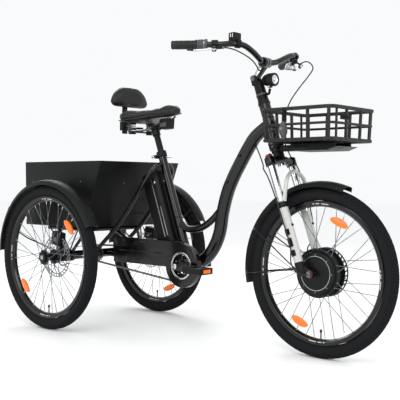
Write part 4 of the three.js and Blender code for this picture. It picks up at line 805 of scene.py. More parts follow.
def build_seat_clamp():
    middle = seat(SEAT_TUBE_TOP - 10)
    shape = Shape()
    shape.turned([(17.3, -12), (21, -12), (21.5, -11), (21.5, 11), (21, 12), (17.3, 12), (17.3, -12)],
                 middle, SEAT_UP, bevel=0)
    ear = middle + SEAT_BACK * 28
    shape.rod(ear - LEFT * 13, ear + LEFT * 13, 8, bevel=1)
    shape.hull([middle + SEAT_BACK * b + SEAT_UP * h + LEFT * y for b in (17, 28) for h in (-7, 7)
                for y in (-11, 11)], bevel=1)
    shape.rod(ear - LEFT * 27, ear + LEFT * 20, 4, finish=1)
    shape.rod(ear - LEFT * 30, ear - LEFT * 22, 7.5, finish=1, sides=6, bevel=0.6)
    make("seat_clamp_band", shape, "frame", ["powder_coat", "polished_silver"], "seat_clamp")
    pivot = ear + LEFT * 28
    lever = Shape()
    lever.rod(pivot - SEAT_UP * 7, pivot + SEAT_UP * 7, 7, bevel=1)
    lever.tube([pivot, pivot + Vector((22, 5, 0)), pivot + Vector((48, -1, -2)),
                pivot + Vector((66, -13, -3))], [5.5, 4.5, 4.5, 3.5], flat=0.6)
    make("seat_lever_cam", lever, "seat_lever", "polished_silver", "seat_lever")


def build_battery():
    near = 17 + 12 + 0.3
    depth, half, bevel = 92, 40, 12
    shape = Shape()
    rings = []
    for z, inset in ((386, 7), (391, 2.5), (398, 0), (676, 0), (684, 3), (690, 9)):
        ring = []
        for back, y in ((near + inset * 0.3, -half + bevel), (near + bevel, -half + inset),
                        (near + depth - bevel - inset, -half + inset),
                        (near + depth - inset, -half + bevel + inset),
                        (near + depth - inset, half - bevel - inset),
                        (near + depth - bevel - inset, half - inset), (near + bevel, half - inset),
                        (near + inset * 0.3, half - bevel)):
            ring.append(seat(z, y, back))
        rings.append(ring)
    shape.loft(rings, bevel=3.0)
    for side in (-1, 1):  # a long and a short bright strip on each side, and the half shells' joint
        for back, top in ((near + 32, 655), (near + 16, 540)):
            strip = [seat(z, side * y, b) for z in (420, top) for y in (half - 1, half + 0.6)
                     for b in (back - 2.2, back + 2.2)]
            shape.hull(strip, finish=1, bevel=0.4)
        seam = [seat(z, side * y, b) for z in (404, 668) for y in (half - 1, half + 0.3)
                for b in (near + 46.4, near + 47.6)]
        shape.hull(seam, finish=2)
    for z in (404, 410, 416):
        groove = [seat(z + dz, y, near + depth + b) for dz in (0, 2) for y in (-22, 22) for b in (-2, 0.4)]
        shape.hull(groove, finish=2)
    lock = seat(640, -half, near + 18)
    shape.rod(lock + LEFT * 2, lock - LEFT * 2, 8, finish=3, bevel=0.6)
    shape.box(lock + Vector((-1, -2.6, -4)), lock + Vector((1, -1.5, 4)), finish=2, bevel=0)
    handle = [seat(686, 0, near + 20), seat(700, 0, near + 30), seat(700, 0, near + 60),
              seat(684, 0, near + 70)]
    shape.tube(handle, [4, 5, 5, 4], finish=2)
    make("battery_case", shape, "frame",
         ["moulded_nylon", "anodised_silver", "powder_coat", "polished_silver"], "battery")


# ---------------------------------------------------------------- drive
def chain_loop(points_per_turn=24):
    """The line of the chain's pins round the sprocket and the chainring, in the x-z plane."""
    small, large = PITCH_RADIUS[0], PITCH_RADIUS[1]
    dx, dz = CRANK.x, CRANK.z - WHEEL_RADIUS
    along = math.atan2(dz, dx)
    lean = math.acos((large - small) / math.hypot(dx, dz))
    half = math.degrees(lean)
    axis = math.degrees(along)
    rear = arc(0, WHEEL_RADIUS, small, axis + 180 - half, axis + 180 + half, points_per_turn)
    front = arc(CRANK.x, CRANK.z, large, axis - 180 + half, axis + 180 - half, 2 * points_per_turn)
    return [Vector((x, CHAIN_LINE, z)) for x, z in [*rear, *front]]


LINK_PITCH = 12.7
RING_TEETH = 36
COG_TEETH = 18
PITCH_RADIUS = [LINK_PITCH / (2 * math.sin(math.pi / n)) for n in (COG_TEETH, RING_TEETH)]


def even(points, spacing):
    """The points of a closed line at even distances, and how many there are."""
    line = [*points, points[0]]
    lengths = [(b - a).length for a, b in zip(line, line[1:])]
    count = round(sum(lengths) / spacing)
    step = sum(lengths) / count
    made, travelled, wanted = [], 0.0, 0.0
    for (a, b), length in zip(zip(line, line[1:]), lengths):
        while wanted < travelled + length - 1e-6 and len(made) < count:
            made.append(a.lerp(b, (wanted - travelled) / length))
            wanted += step
        travelled += length
    return made


def build_chain():
    pins = even(chain_loop(), LINK_PITCH)
    shape = Shape()
    for k, (a, b) in enumerate(zip(pins, [*pins[1:], pins[0]])):
        middle = (a + b) / 2
        angle = math.degrees(math.atan2(b.z - a.z, b.x - a.x))
        wide = 3.1 if k % 2 else 2.2
        reach = (b - a).length / 2
        face = [*arc(0, 0, 3.9, -70, 70, 4), *arc(0, 0, 3.9, 110, 250, 4)]
        turn = Matrix.Translation(middle) @ Matrix.Rotation(-math.radians(angle), 4, "Y")
        face = [(x + math.copysign(reach, x), z) for x, z in face]
        for side in (-1, 1):
            low, high = sorted((side * wide, side * (wide + 0.8)))
            rings = [[turn @ Vector((x, y, z)) for x, z in face] for y in (low, high)]
            shape.loft(rings)
        shape.rod(a - LEFT * 2.2, a + LEFT * 2.2, 3.0, finish=0, sides=8)
    make("chain_links", shape, "frame", "zinc_steel", "chain")


def toothed(name, teeth, body, centre, bore, finish, node_name=None):
    """A chainwheel: a bored plate and its ring of teeth."""
    radius = LINK_PITCH / (2 * math.sin(math.pi / teeth))
    shape = Shape()
    shape.ring(bore, radius - 4.4, -1.2, 1.2, centre, segments=96)
    nodes = [node_name] if node_name else []
    make(name + "_plate", shape, body, finish, *nodes)
    tooth = Shape()
    low, top = radius - 5, radius + 2.4
    tooth.plate([(-2.9, low), (2.9, low), (2.3, radius - 2), (1.0, top), (-1.0, top), (-2.3, radius - 2)],
                -1.0, 1.0)
    turned_copies(name + "_teeth", tooth, teeth, centre, body, finish)


def build_crankset():
    arm_y = 92
    shape = Shape()
    shape.rod(CRANK - LEFT * (arm_y + 8), CRANK + LEFT * (arm_y + 8), 9.8, finish=1, sides=32)
    shape.ring(10, 28, CHAIN_LINE - 6, CHAIN_LINE + 2, (CRANK.x, 0, CRANK.z), bevel=1)
    for k in range(5):
        x, z = arc(CRANK.x, CRANK.z, 42, 72 * k + 18, 0, 1)[0]
        inner = arc(CRANK.x, CRANK.z, 24, 72 * k + 18, 0, 1)[0]
        shape.bar((inner[0], CHAIN_LINE - 3.5, inner[1]), (x, CHAIN_LINE - 3.5, z), 12, 4.5, bevel=1)
        shape.screw((x, CHAIN_LINE - 5.5, z), -LEFT, 3.5, finish=1, sides=20)
    for side in (-1, 1):
        reach = -side
        pedal = CRANK + Vector((reach * CRANK_LENGTH, 0, 0))
        stations = [(-14, 14, 13, 92), (0, 16, 15, 92), (60, 12, 12, 93.5),
                    (CRANK_LENGTH - 26, 10.5, 11, 95.5),
                    (CRANK_LENGTH - 8, 12.5, 12, 96), (CRANK_LENGTH + 10, 9, 11.5, 96)]
        rings = []
        for t, tall, thick, y in stations:
            corners = [(-thick / 2, -tall + 3), (-thick / 2 + 3, -tall), (thick / 2 - 3, -tall),
                       (thick / 2, -tall + 3), (thick / 2, tall - 3), (thick / 2 - 3, tall),
                       (-thick / 2 + 3, tall), (-thick / 2, tall - 3)]
            rings.append([Vector((CRANK.x + reach * t, side * (y + 6) + a, CRANK.z + b)) for a, b in corners])
        shape.loft(rings, bevel=1.5)
        shape.rod(CRANK + LEFT * side * 97, CRANK + LEFT * side * 107, 11, finish=1, sides=32, bevel=1.5)
        shape.rod(pedal + LEFT * side * 97, pedal + LEFT * side * 110, 7, finish=1, sides=24, bevel=0.8)
        shape.rod(pedal + LEFT * side * 102, pedal + LEFT * side * (PEDAL_SPREAD + 30), 4.4, finish=1)
    make("crankset_arms", shape, "crank", ["gloss_enamel", "polished_silver"], "crankset")
    toothed("chainring", RING_TEETH, "crank", Vector((CRANK.x, CHAIN_LINE, CRANK.z)), 34,
            "powder_coat")
    toothed("axle_sprocket", COG_TEETH, "axle_sprocket", Vector((0, CHAIN_LINE, WHEEL_RADIUS)), 10.4,
            "zinc_steel", "axle_sprocket")


def build_pedals():
    for name, side in (("right", -1), ("left", 1)):
        x = CRANK.x - side * CRANK_LENGTH
        y = side * PEDAL_SPREAD
        z = CRANK.z
        half, wide, thick = 48, 36, 12
        shape = Shape()
        for s in (-1, 1):
            end = [(x + s * 44, y - wide + 4), (x + s * 48, y - wide + 10), (x + s * 48, y + wide - 10),
                   (x + s * 44, y + wide - 4), (x + s * 36, y + wide - 4), (x + s * 36, y - wide + 4)]
            shape.plate(end, z - thick, z + thick, "Z", bevel=1.5)
            shape.box((x - 46, y + s * 32 - 4, z - thick), (x + 46, y + s * 32 + 4, z + thick), bevel=2.5)
            for k in range(5):  # gripping studs along the cage
                shape.rod((x + s * 42, y - 24 + 12 * k, z + thick - 1),
                          (x + s * 42, y - 24 + 12 * k, z + thick + 1.0),
                          2, 1.2, sides=10)
                shape.rod((x + s * 42, y - 24 + 12 * k, z - thick + 1),
                          (x + s * 42, y - 24 + 12 * k, z - thick - 1.0),
                          2, 1.2, sides=10)
            shape.box((x + s * 48 - 1.6, y - 20, z - 7), (x + s * 48 + 0.4, y + 20, z + 7), finish=1,
                      bevel=0.6)
        shape.box((x - 11, y - wide + 1, z - 9), (x + 11, y + wide - 1, z + 9), bevel=4)
        shape.box((x - 40, y - 5, z - 4), (x + 40, y + 5, z + 4), bevel=1.5)
        make(f"pedal_{name}_cage", shape, f"pedal_{name}", ["moulded_nylon", "amber_reflector"],
             f"pedal_{name}")


def case_outline(inset):
    radius, foot = 89 - inset, 278 + inset
    turn = math.degrees(math.asin((foot - CRANK.z) / radius))
    top, rear = 386 - inset, 122 + inset
    nose = arc(CRANK.x, CRANK.z, radius, 180 - turn, 423, 40)
    return [(rear, foot), *nose, (CRANK.x - 20, top), (CRANK.x - 70, top),
            *arc(rear + 16, top - 16, 16, 90, 180, 6)]


def build_chain_case():
    outer, inner, hole = -67, -42, 48
    shape = Shape()
    outside, lip, inside = case_outline(0), case_outline(2.0), case_outline(2.5)
    rings = [[(x, y, z) for x, z in face] for face, y in (
        (outside, inner), (outside, outer + 2), (lip, outer), (inside, outer + 2.5), (inside, inner))]
    shape.loft(rings, closed=True)
    # the side wall, with its round hole for the crank
    part = bmesh.new()
    edges = []
    for face in (case_outline(1.2), arc(CRANK.x, CRANK.z, hole, 0, 360, 48)[:-1]):
        rim = [part.verts.new((x, outer + 0.6, z)) for x, z in face]
        edges += [part.edges.new((a, b)) for a, b in zip(rim, [*rim[1:], rim[0]])]
    bmesh.ops.triangle_fill(part, edges=edges, use_beauty=True)
    solid = bmesh.ops.extrude_face_region(part, geom=part.faces)
    moved = [v for v in solid["geom"] if isinstance(v, bmesh.types.BMVert)]
    bmesh.ops.translate(part, verts=moved, vec=(0, 2.0, 0))
    shape.take(part)
    # embossed line, bright ring and its screws
    shape.ring(hole - 0.5, hole + 7, outer - 1.2, outer + 1.6, (CRANK.x, 0, CRANK.z), finish=1, bevel=0.5)
    for k in range(5):
        x, z = arc(CRANK.x, CRANK.z, hole + 3.4, 72 * k + 40, 0, 1)[0]
        shape.screw((x, outer - 1.2, z), -LEFT, 1.8, finish=2, height=0.9)
    for x, z in ((140, 300), (140, 366), (300, 374), (300, 292)):
        shape.screw((x, outer + 0.2, z), -LEFT, 2.2, finish=2, height=1.0)
    rib = [(160, 330), (420, 330), (420, 334), (160, 334)]
    shape.plate(rib, outer - 0.8, outer + 1, bevel=0.3)
    make("chain_case_shell", shape, "frame", ["gloss_enamel", "polished_silver", "zinc_steel"],
         "chain_case")


# ---------------------------------------------------------------- brakes, fenders, lamps
def caliper(shape, x, y, z, half_x, half_z, faces):
    """Two cast halves with a slot between them for the disc, a bridge and through bolts."""
    low, high = sorted(faces)
    for near, far in ((low, -2.0), (2.0, high)):
        shape.hull([(x - half_x, y + f, z - half_z + 12) for f in (near, far)]
                   + [(x - half_x + 12, y + f, z + half_z) for f in (near, far)]
                   + [(x + half_x, y + f, z + half_z - 10) for f in (near, far)]
                   + [(x + half_x - 6, y + f, z - half_z) for f in (near, far)], bevel=2.5)
    shape.hull([(x - half_x + 13, y + f, z + half_z - e) for f in (low + 2, high - 2) for e in (1, 9)]
               + [(x + half_x - 2, y + f, z + half_z - 11 - e) for f in (low + 2, high - 2) for e in (1, 8)],
               bevel=1.5)
    for dx, dz in ((-half_x * 0.45, half_z * 0.35), (half_x * 0.55, 0)):
        shape.screw((x + dx, y + high, z + dz), LEFT, 3.2, finish=1, height=2)
        shape.screw((x + dx, y + low, z + dz), -LEFT, 3.2, finish=1, height=2)
    shape.rod((x, y + low - 0.2, z - 4), (x, y + low - 2.6, z - 4), 11, finish=1, sides=32, bevel=0.8)


def build_rear_brakes():
    for name, side in (("right", -1), ("left", 1)):
        y = side * (TRACK / 2 - REAR_ROTOR_INSET)
        shape = Shape()
        caliper(shape, 4, y, WHEEL_RADIUS + 76, 34, 34, [side * 9, -side * 21])
        tab = sorted((y - side * 20, y - side * 12))
        shape.hull([(x, yy, z) for yy in tab for x, z in ((-20, 330), (32, 330), (24, 389), (-12, 389))],
                   bevel=1.5)
        # arm that the cable pulls
        base = Vector((4, y - side * 25, WHEEL_RADIUS + 72))
        shape.tube([base, base + Vector((-16, 0, 12)), base + Vector((-26, 0, 26))], [5, 4, 3],
                   finish=1, flat=0.5)
        make(f"rear_caliper_{name}_body", shape, "frame", ["powder_coat", "zinc_steel"],
             f"rear_caliper_{name}")


def build_front_brake():
    shape = Shape()
    caliper(shape, 1058, FRONT_ROTOR_INSET, 344, 15, 30, [-12, 12])
    shape.rod((1058, 50, 366), (1058, 50, 375), 4.5, finish=1, bevel=0.5)
    make("front_caliper_body", shape, "lowers", ["powder_coat", "zinc_steel"], "front_caliper")


def fender_shell(shape, x, y, start, end, finish=0):
    """A crowned mudguard with rolled edges, swept round the wheel."""
    wide, thick = FENDER_HALF_WIDTH, 1.6
    outside = []
    count = 12
    for k in range(-count, count + 1):
        t = k / count
        drop = 9 * t * t + 12 * max(0.0, abs(t) - 0.85) / 0.15
        outside.append((wide * t, drop))
    inside = [(w * 0.965, d + thick) for w, d in reversed(outside)]
    section = [*outside, *inside]
    steps = 56
    rings = []
    for k in range(steps + 1):
        angle = start + (end - start) * k / steps
        ease = 1.0
        close = min(k, steps - k)
        if close < 3:
            ease = 0.93 + 0.07 * close / 3
        rings.append([on_wheel(x, y + w * ease, FENDER_RADIUS - d, angle) for w, d in section])
    return shape.loft(rings, finish)


def build_rear_fenders():
    for name, side in (("right", -1), ("left", 1)):
        y = side * TRACK / 2
        inner = y - side * (FENDER_HALF_WIDTH - 2)
        clamp = side * 228
        shape = Shape()
        fender_shell(shape, 0, y, 178, 26)
        shape.turned([(19.4, clamp - 6), (25, clamp - 6), (25, clamp + 6), (19.4, clamp + 6),
                      (19.4, clamp - 6)], (0, 0, WHEEL_RADIUS), finish=1, bevel=0.8)
        for angle in (38, 116, 160):
            shape.tube([on_wheel(0, clamp, 22, angle), on_wheel(0, inner - side * 5, 185, angle),
                        on_wheel(0, inner, 205, angle), on_wheel(0, inner, FENDER_RADIUS - 10, angle)],
                       3, finish=1, sides=12, steps=5)
            edge = on_wheel(0, y - side * FENDER_HALF_WIDTH * 0.98, FENDER_RADIUS - 17, angle)
            shape.screw(edge, -LEFT * side, 3, finish=2)
        make(f"rear_fender_{name}_shell", shape, "frame",
             ["powder_coat", "gloss_enamel", "zinc_steel"], f"rear_fender_{name}")


def build_tail_lights():
    for name, side in (("right", -1), ("left", 1)):
        y = side * TRACK / 2
        angle = 146
        base = on_wheel(0, y, FENDER_RADIUS + 0.4, angle)
        out = (on_wheel(0, 0, 1, angle) - Vector((0, 0, WHEEL_RADIUS))).normalized()
        tangent = Vector((-out.z, 0, out.x))
        def spot(t, w, h):
            return base + tangent * t + LEFT * w + out * h
        shape = Shape()
        shape.hull([spot(t, w, h) for w in (-14, 14) for t in (-24, 24) for h in (1.0, 5.0)],
                   finish=1, bevel=1.2)
        shape.hull([spot(-22, w, 4) for w in (-12.5, 12.5)] + [spot(22, w, 4) for w in (-12.5, 12.5)]
                   + [spot(-16, w, 19) for w in (-10, 10)] + [spot(19, w, 13) for w in (-10, 10)],
                   bevel=3)
        make(f"tail_light_{name}_lens", shape, "frame", ["red_lens", "moulded_nylon"],
             f"tail_light_{name}")


# ---------------------------------------------------------------- cargo rack and box
BOX_TOP, BOX_BOTTOM = 712, 430
BOX_REAR, BOX_FRONT, BOX_HALF = -290, 118, 232  # at the bottom
BOX_REAR_LEAN, BOX_FRONT_LEAN, BOX_SIDE_LEAN = 3, 110, 3  # further out at the top


def box_share(z):
    """How far up the box a height is, from 0 at the bottom to 1 at the top."""
    return (z - BOX_BOTTOM) / (BOX_TOP - BOX_BOTTOM)


def box_section(z, inset=0.0, corner=6.0):
    """The box's outline at a height: upright sides and rear, and a front that leans forward."""
    share = box_share(z)
    half = BOX_HALF + BOX_SIDE_LEAN * share - inset
    rear = BOX_REAR - BOX_REAR_LEAN * share + inset
    front = BOX_FRONT + BOX_FRONT_LEAN * share - inset
    corner = max(corner - inset, 3)
    ring = []
    for cx, cy, first in ((front - corner, half - corner, 0), (rear + corner, half - corner, 90),
                          (rear + corner, -half + corner, 180), (front - corner, -half + corner, 270)):
        ring += [Vector((x, y, z)) for x, y in arc(cx, cy, corner, first, first + 90, 6)]
    return ring


def build_cargo_box():
    shape = Shape()
    wall = 3
    outside = [box_section(BOX_BOTTOM, 2), box_section(BOX_BOTTOM + 3), box_section(BOX_TOP - 1),
               box_section(BOX_TOP, 0.8)]
    inside = [box_section(BOX_TOP, wall - 1), box_section(BOX_TOP - 2, wall),
              box_section(BOX_BOTTOM + wall + 4, wall), box_section(BOX_BOTTOM + wall, wall + 3)]
    shape.loft([*outside, *inside])
    for side in (-1, 1):
        for x, z in ((100, 625), (110, 552), (-230, 625), (-230, 490)):
            shape.screw((x, side * 234, z), LEFT * side, 3, finish=1, height=1)
    lean = Vector((BOX_FRONT_LEAN, 0, BOX_TOP - BOX_BOTTOM)).normalized()
    out = Vector((lean.z, 0, -lean.x))

    def on_front(y, z):
        return Vector((BOX_FRONT + BOX_FRONT_LEAN * box_share(z), y, z))

    for y in (-72, 72):
        shape.screw(on_front(y, 620), out, 3, finish=1, height=1)
    for z in (484, 546):  # two dark slots in the front wall, on the left of the battery
        corners = [on_front(y, z) + lean * t + out * o for y in (20, 110) for t in (-3, 3)
                   for o in (-1, 0.6)]
        shape.hull(corners, finish=2)
    for x in (-250, 80):
        for y in (-190, 190):
            shape.screw((x, y, BOX_BOTTOM + wall), UP, 4, finish=1, height=1.5, sides=20)
    make("cargo_box_shell", shape, "frame", ["powder_coat", "zinc_steel", "moulded_nylon"], "cargo_box")


def build_cargo_rack():
    shape = Shape()
    z, half, front, rear = 416, 150, 45, -215
    for side in (-1, 1):
        shape.rod((rear - 6, side * half, z), (front + 6, side * half, z), 8.8)
        for x in (rear - 6, front + 6):
            shape.rod((x - 3, side * half, z), (x + 3, side * half, z), 9.6, finish=1, bevel=1)
        y = side * 205
        shape.turned([(19.4, y - 9), (25, y - 9), (25, y + 9), (19.4, y + 9), (19.4, y - 9)],
                     (0, 0, WHEEL_RADIUS), bevel=1)
        for x, foot in ((rear + 60, -12), (front - 5, 12)):
            shape.tube([(x, side * half, z), (foot, y, WHEEL_RADIUS + 18)], 6.8, smooth=False)
    for x in (rear, -85, front):
        shape.rod((x, -half, z), (x, half, z), 8.8)
        for side in (-1, 1):
            shape.weld((x, side * (half - 10), z), LEFT, 8.8)
    make("cargo_rack_tubes", shape, "frame", ["gloss_enamel", "grip_rubber"], "cargo_rack")


# ---------------------------------------------------------------- basket and its carrier
def build_basket():
    rail, half, rear, front = 6.5, 145, 976, 1284
    top, bottom = 888, 768

    def level(z):
        inset = 5 * (top - z) / (top - bottom)
        return rear + rail + inset, front - rail - inset, half - rail - inset

    def hoop(z, r, corner, shape, tall=1.0):
        x0, x1, y = level(z)
        line = []
        for cx, cy, first in ((x1 - corner, y - corner, 0), (x0 + corner, y - corner, 90),
                              (x0 + corner, corner - y, 180), (x1 - corner, corner - y, 270)):
            line += [Vector((a, b, z)) for a, b in arc(cx, cy, corner, first, first + 90, 7)]
        rings = []
        for k, point in enumerate(line):
            ahead = (line[(k + 1) % len(line)] - line[k - 1]).normalized()
            out = ahead.cross(UP)
            section = []
            for j in range(16):
                t = 2 * math.pi * j / 16
                a, b = math.cos(t), math.sin(t)
                a = math.copysign(abs(a) ** 0.6, a)
                b = math.copysign(abs(b) ** 0.6, b)
                section.append(point + out * (a * r) + UP * (b * r * tall))
            rings.append(section)
        shape.loft(rings, closed=True)

    shape = Shape()
    high, low = top - rail, bottom + rail
    hoop(high, rail, 22, shape)
    hoop(low, rail, 20, shape)
    hoop((high + low) / 2, rail * 0.7, 20, shape)
    x0, x1, y = level(high)
    a0, a1, b = level(low)
    for k in range(4):
        share = min(max(k / 3, 0.045), 0.955)
        for s in (-1, 1):
            shape.bar((a0 + (a1 - a0) * share, s * b, low), (x0 + (x1 - x0) * share, s * y, high),
                      9, 11, bevel=2.5)
    for s in (-1, 1):
        for foot, head in ((a0, x0), (a1, x1)):
            shape.bar((foot, s * 0.34 * b, low), (head, s * 0.34 * y, high), 11, 9, bevel=2.5)
            shape.bar((foot, s * 0.8 * b, low), (head, s * 0.8 * y, high), 8, 7, bevel=2)
    shape.hull([(x, yy, z) for x in (a0, a1) for yy in (-b, b) for z in (low - 1.8, low + 1.6)], bevel=0.6)
    for k in range(9):  # ribs under the tray and across it
        place = a0 + 16 + k * (a1 - a0 - 32) / 8
        shape.hull([(place + i, yy, z) for i in (-1.5, 1.5) for yy in (4 - b, b - 4)
                    for z in (low - 5.8, low - 1)])
        shape.hull([(place + i, yy, z) for i in (-3, 3) for yy in (8 - b, b - 8)
                    for z in (low + 1, low + 3.4)], bevel=0.8)
    # a blank, grained name plate between the rails of the front
    shape.hull([(x1 - 3 + i, yy, z) for i in (-1, 6) for yy in (-84, -40) for z in (840, 860)],
               finish=1, bevel=1.5)
    for k in range(5):
        yy = -78 + 8 * k
        shape.hull([(x1 + 3 + i, yy + j, z) for i in (0, 2.6) for j in (0, 4) for z in (845, 855)],
                   finish=1, bevel=0.5)
    make("front_basket_frame", shape, "frame", ["basket_polypropylene", "moulded_nylon"],
         "front_basket")
    build_basket_lock()


def build_basket_lock():
    """A small lock hung from the near side's second upright, with a ribbed sleeve above it."""
    x, y = 1083, -141
    shape = Shape()
    shape.turned([(0, -27), (9, -25), (14, -16), (15, -4), (12, 10), (8, 21), (6, 25), (0, 26)],
                 (x, y - 3, 812), UP, segments=32)
    shape.rod((x, y - 16, 812), (x, y - 19.3, 812), 7.5, finish=2, sides=28, bevel=0.6)
    shape.box((x - 8, y - 8, 776), (x + 8, y + 4, 790), bevel=2.5)
    turns = 9
    line = []
    for k in range(turns * 10 + 1):
        t = 2 * math.pi * k / 10
        line.append(Vector((x + 7.5 * math.cos(t), y + 5 * math.sin(t) + 2, 838 + 46 * k / (turns * 10))))
    shape.tube(line, 2.6, finish=1, sides=8, smooth=False)
    shape.rod((x, y + 2, 834), (x, y + 2, 886), 6, finish=1, sides=16)
    make("basket_lock", shape, "frame", ["grey_elastomer", "moulded_nylon", "zinc_steel"])


def build_basket_carrier():
    shape = Shape()
    top = 767.2
    shape.hull([(x, s * y, z) for s in (-1, 1) for x, y, z in
                ((1052, 80, 752), (1240, 88, 752), (1262, 60, 752), (1052, 70, 738.6),
                 (1215, 70, 738.6))], bevel=4, steps=3)
    for s in (-1, 1):
        shape.box((1053, s * 52 - 6.5, 750), (1234, s * 52 + 6.5, top), bevel=2)
        for x in (1075, 1150, 1215):
            shape.screw((x, s * 52, 744), -UP, 3.5, finish=1, height=1.2)
    arm = 764
    shape.box((steer(arm).x + 12, -12.5, 740.4), (1072, 12.5, arm - 0.4), bevel=3)
    low, high = steer(arm - 14), steer(arm + 14)
    shape.sleeve(low, high, 22.4, 28, bevel=1.5)
    for z in (arm - 6, arm + 6):
        shape.screw(steer(z, -27), -LEFT, 3, finish=1, height=1.4)
    for k in range(5):  # stiffening ribs under the tray
        y = -56 + 28 * k
        shape.hull([(x, y + i, z) for x in (1060, 1205) for i in (-1.2, 1.2) for z in (738.4, 742)])
    make("basket_carrier_casting", shape, "frame", ["powder_coat", "zinc_steel"], "basket_carrier")


# ---------------------------------------------------------------- fork
def build_fork_crown():
    shape = Shape()
    middle = CROWN_TOP - 15
    shape.rod(steer(CROWN_TOP - 30), steer(HEAD_TOP + 11.5), 14.2, finish=2, sides=32)
    shape.turned([(14, -4), (19.6, -4), (20, -3), (20, 22), (18, 24), (14, 24), (14, -4)],
                 steer(CROWN_TOP), STEER_UP, finish=1, segments=40)
    rings = []
    for y, lift, half, deep in ((-82, -6, 9, 10), (-78, -4, 12, 15), (-65, -4, 13.4, 17), (-46, 1, 14, 16),
                                (-24, 6, 15, 17), (0, 7, 15.5, 18), (24, 6, 15, 17), (46, 1, 14, 16),
                                (65, -4, 13.4, 17), (78, -4, 12, 15), (82, -6, 9, 10)):
        centre = steer(middle, y)
        section = []
        for j in range(16):
            t = 2 * math.pi * (j + 0.5) / 16
            a, b = math.cos(t), math.sin(t)
            a, b = math.copysign(abs(a) ** 0.6, a), math.copysign(abs(b) ** 0.6, b)
            section.append(centre + STEER_UP * (lift + b * half) + STEER_FRONT * (a * deep))
        rings.append(section)
    shape.loft(rings)
    for s in (-1, 1):
        low, high = steer(CROWN_TOP - 30, s * FORK_SPREAD), steer(CROWN_TOP - 0.4, s * FORK_SPREAD)
        shape.rod(low, high, 19.8, sides=36, bevel=1.5)
        shape.rod(steer(476, s * FORK_SPREAD), steer(CROWN_TOP - 10, s * FORK_SPREAD), 13.9, finish=2)
        if s > 0:
            shape.rod(high, high + STEER_UP * 4, 13, finish=1, sides=6, bevel=1)
    make("fork_crown_casting", shape, "steering", ["gloss_enamel", "powder_coat", "polished_silver"],
         "fork_crown")
    knob = Shape()
    foot = steer(CROWN_TOP + 0.4, -FORK_SPREAD)
    knob.turned([(0, 0), (15, 0), (15, 3), (14.2, 3.6), (13, 9), (11.5, 10), (0, 10)], foot, STEER_UP,
                segments=40)
    knob.hull([foot + STEER_UP * h + STEER_FRONT * f + LEFT * y for h, f, y in
               ((9, -11, -3.4), (9, 11, -3.4), (9, -11, 3.4), (9, 11, 3.4),
                (14, -9, -2.4), (14, 9, -2.4), (14, -9, 2.4), (14, 9, 2.4))], bevel=1)
    knob.ring(15, 16.2, 0.4, 2.6, foot, STEER_UP, finish=1, segments=40)
    make("lockout_knob_cap", knob, "lockout_knob", ["red_anodised", "grey_elastomer"], "lockout_knob")


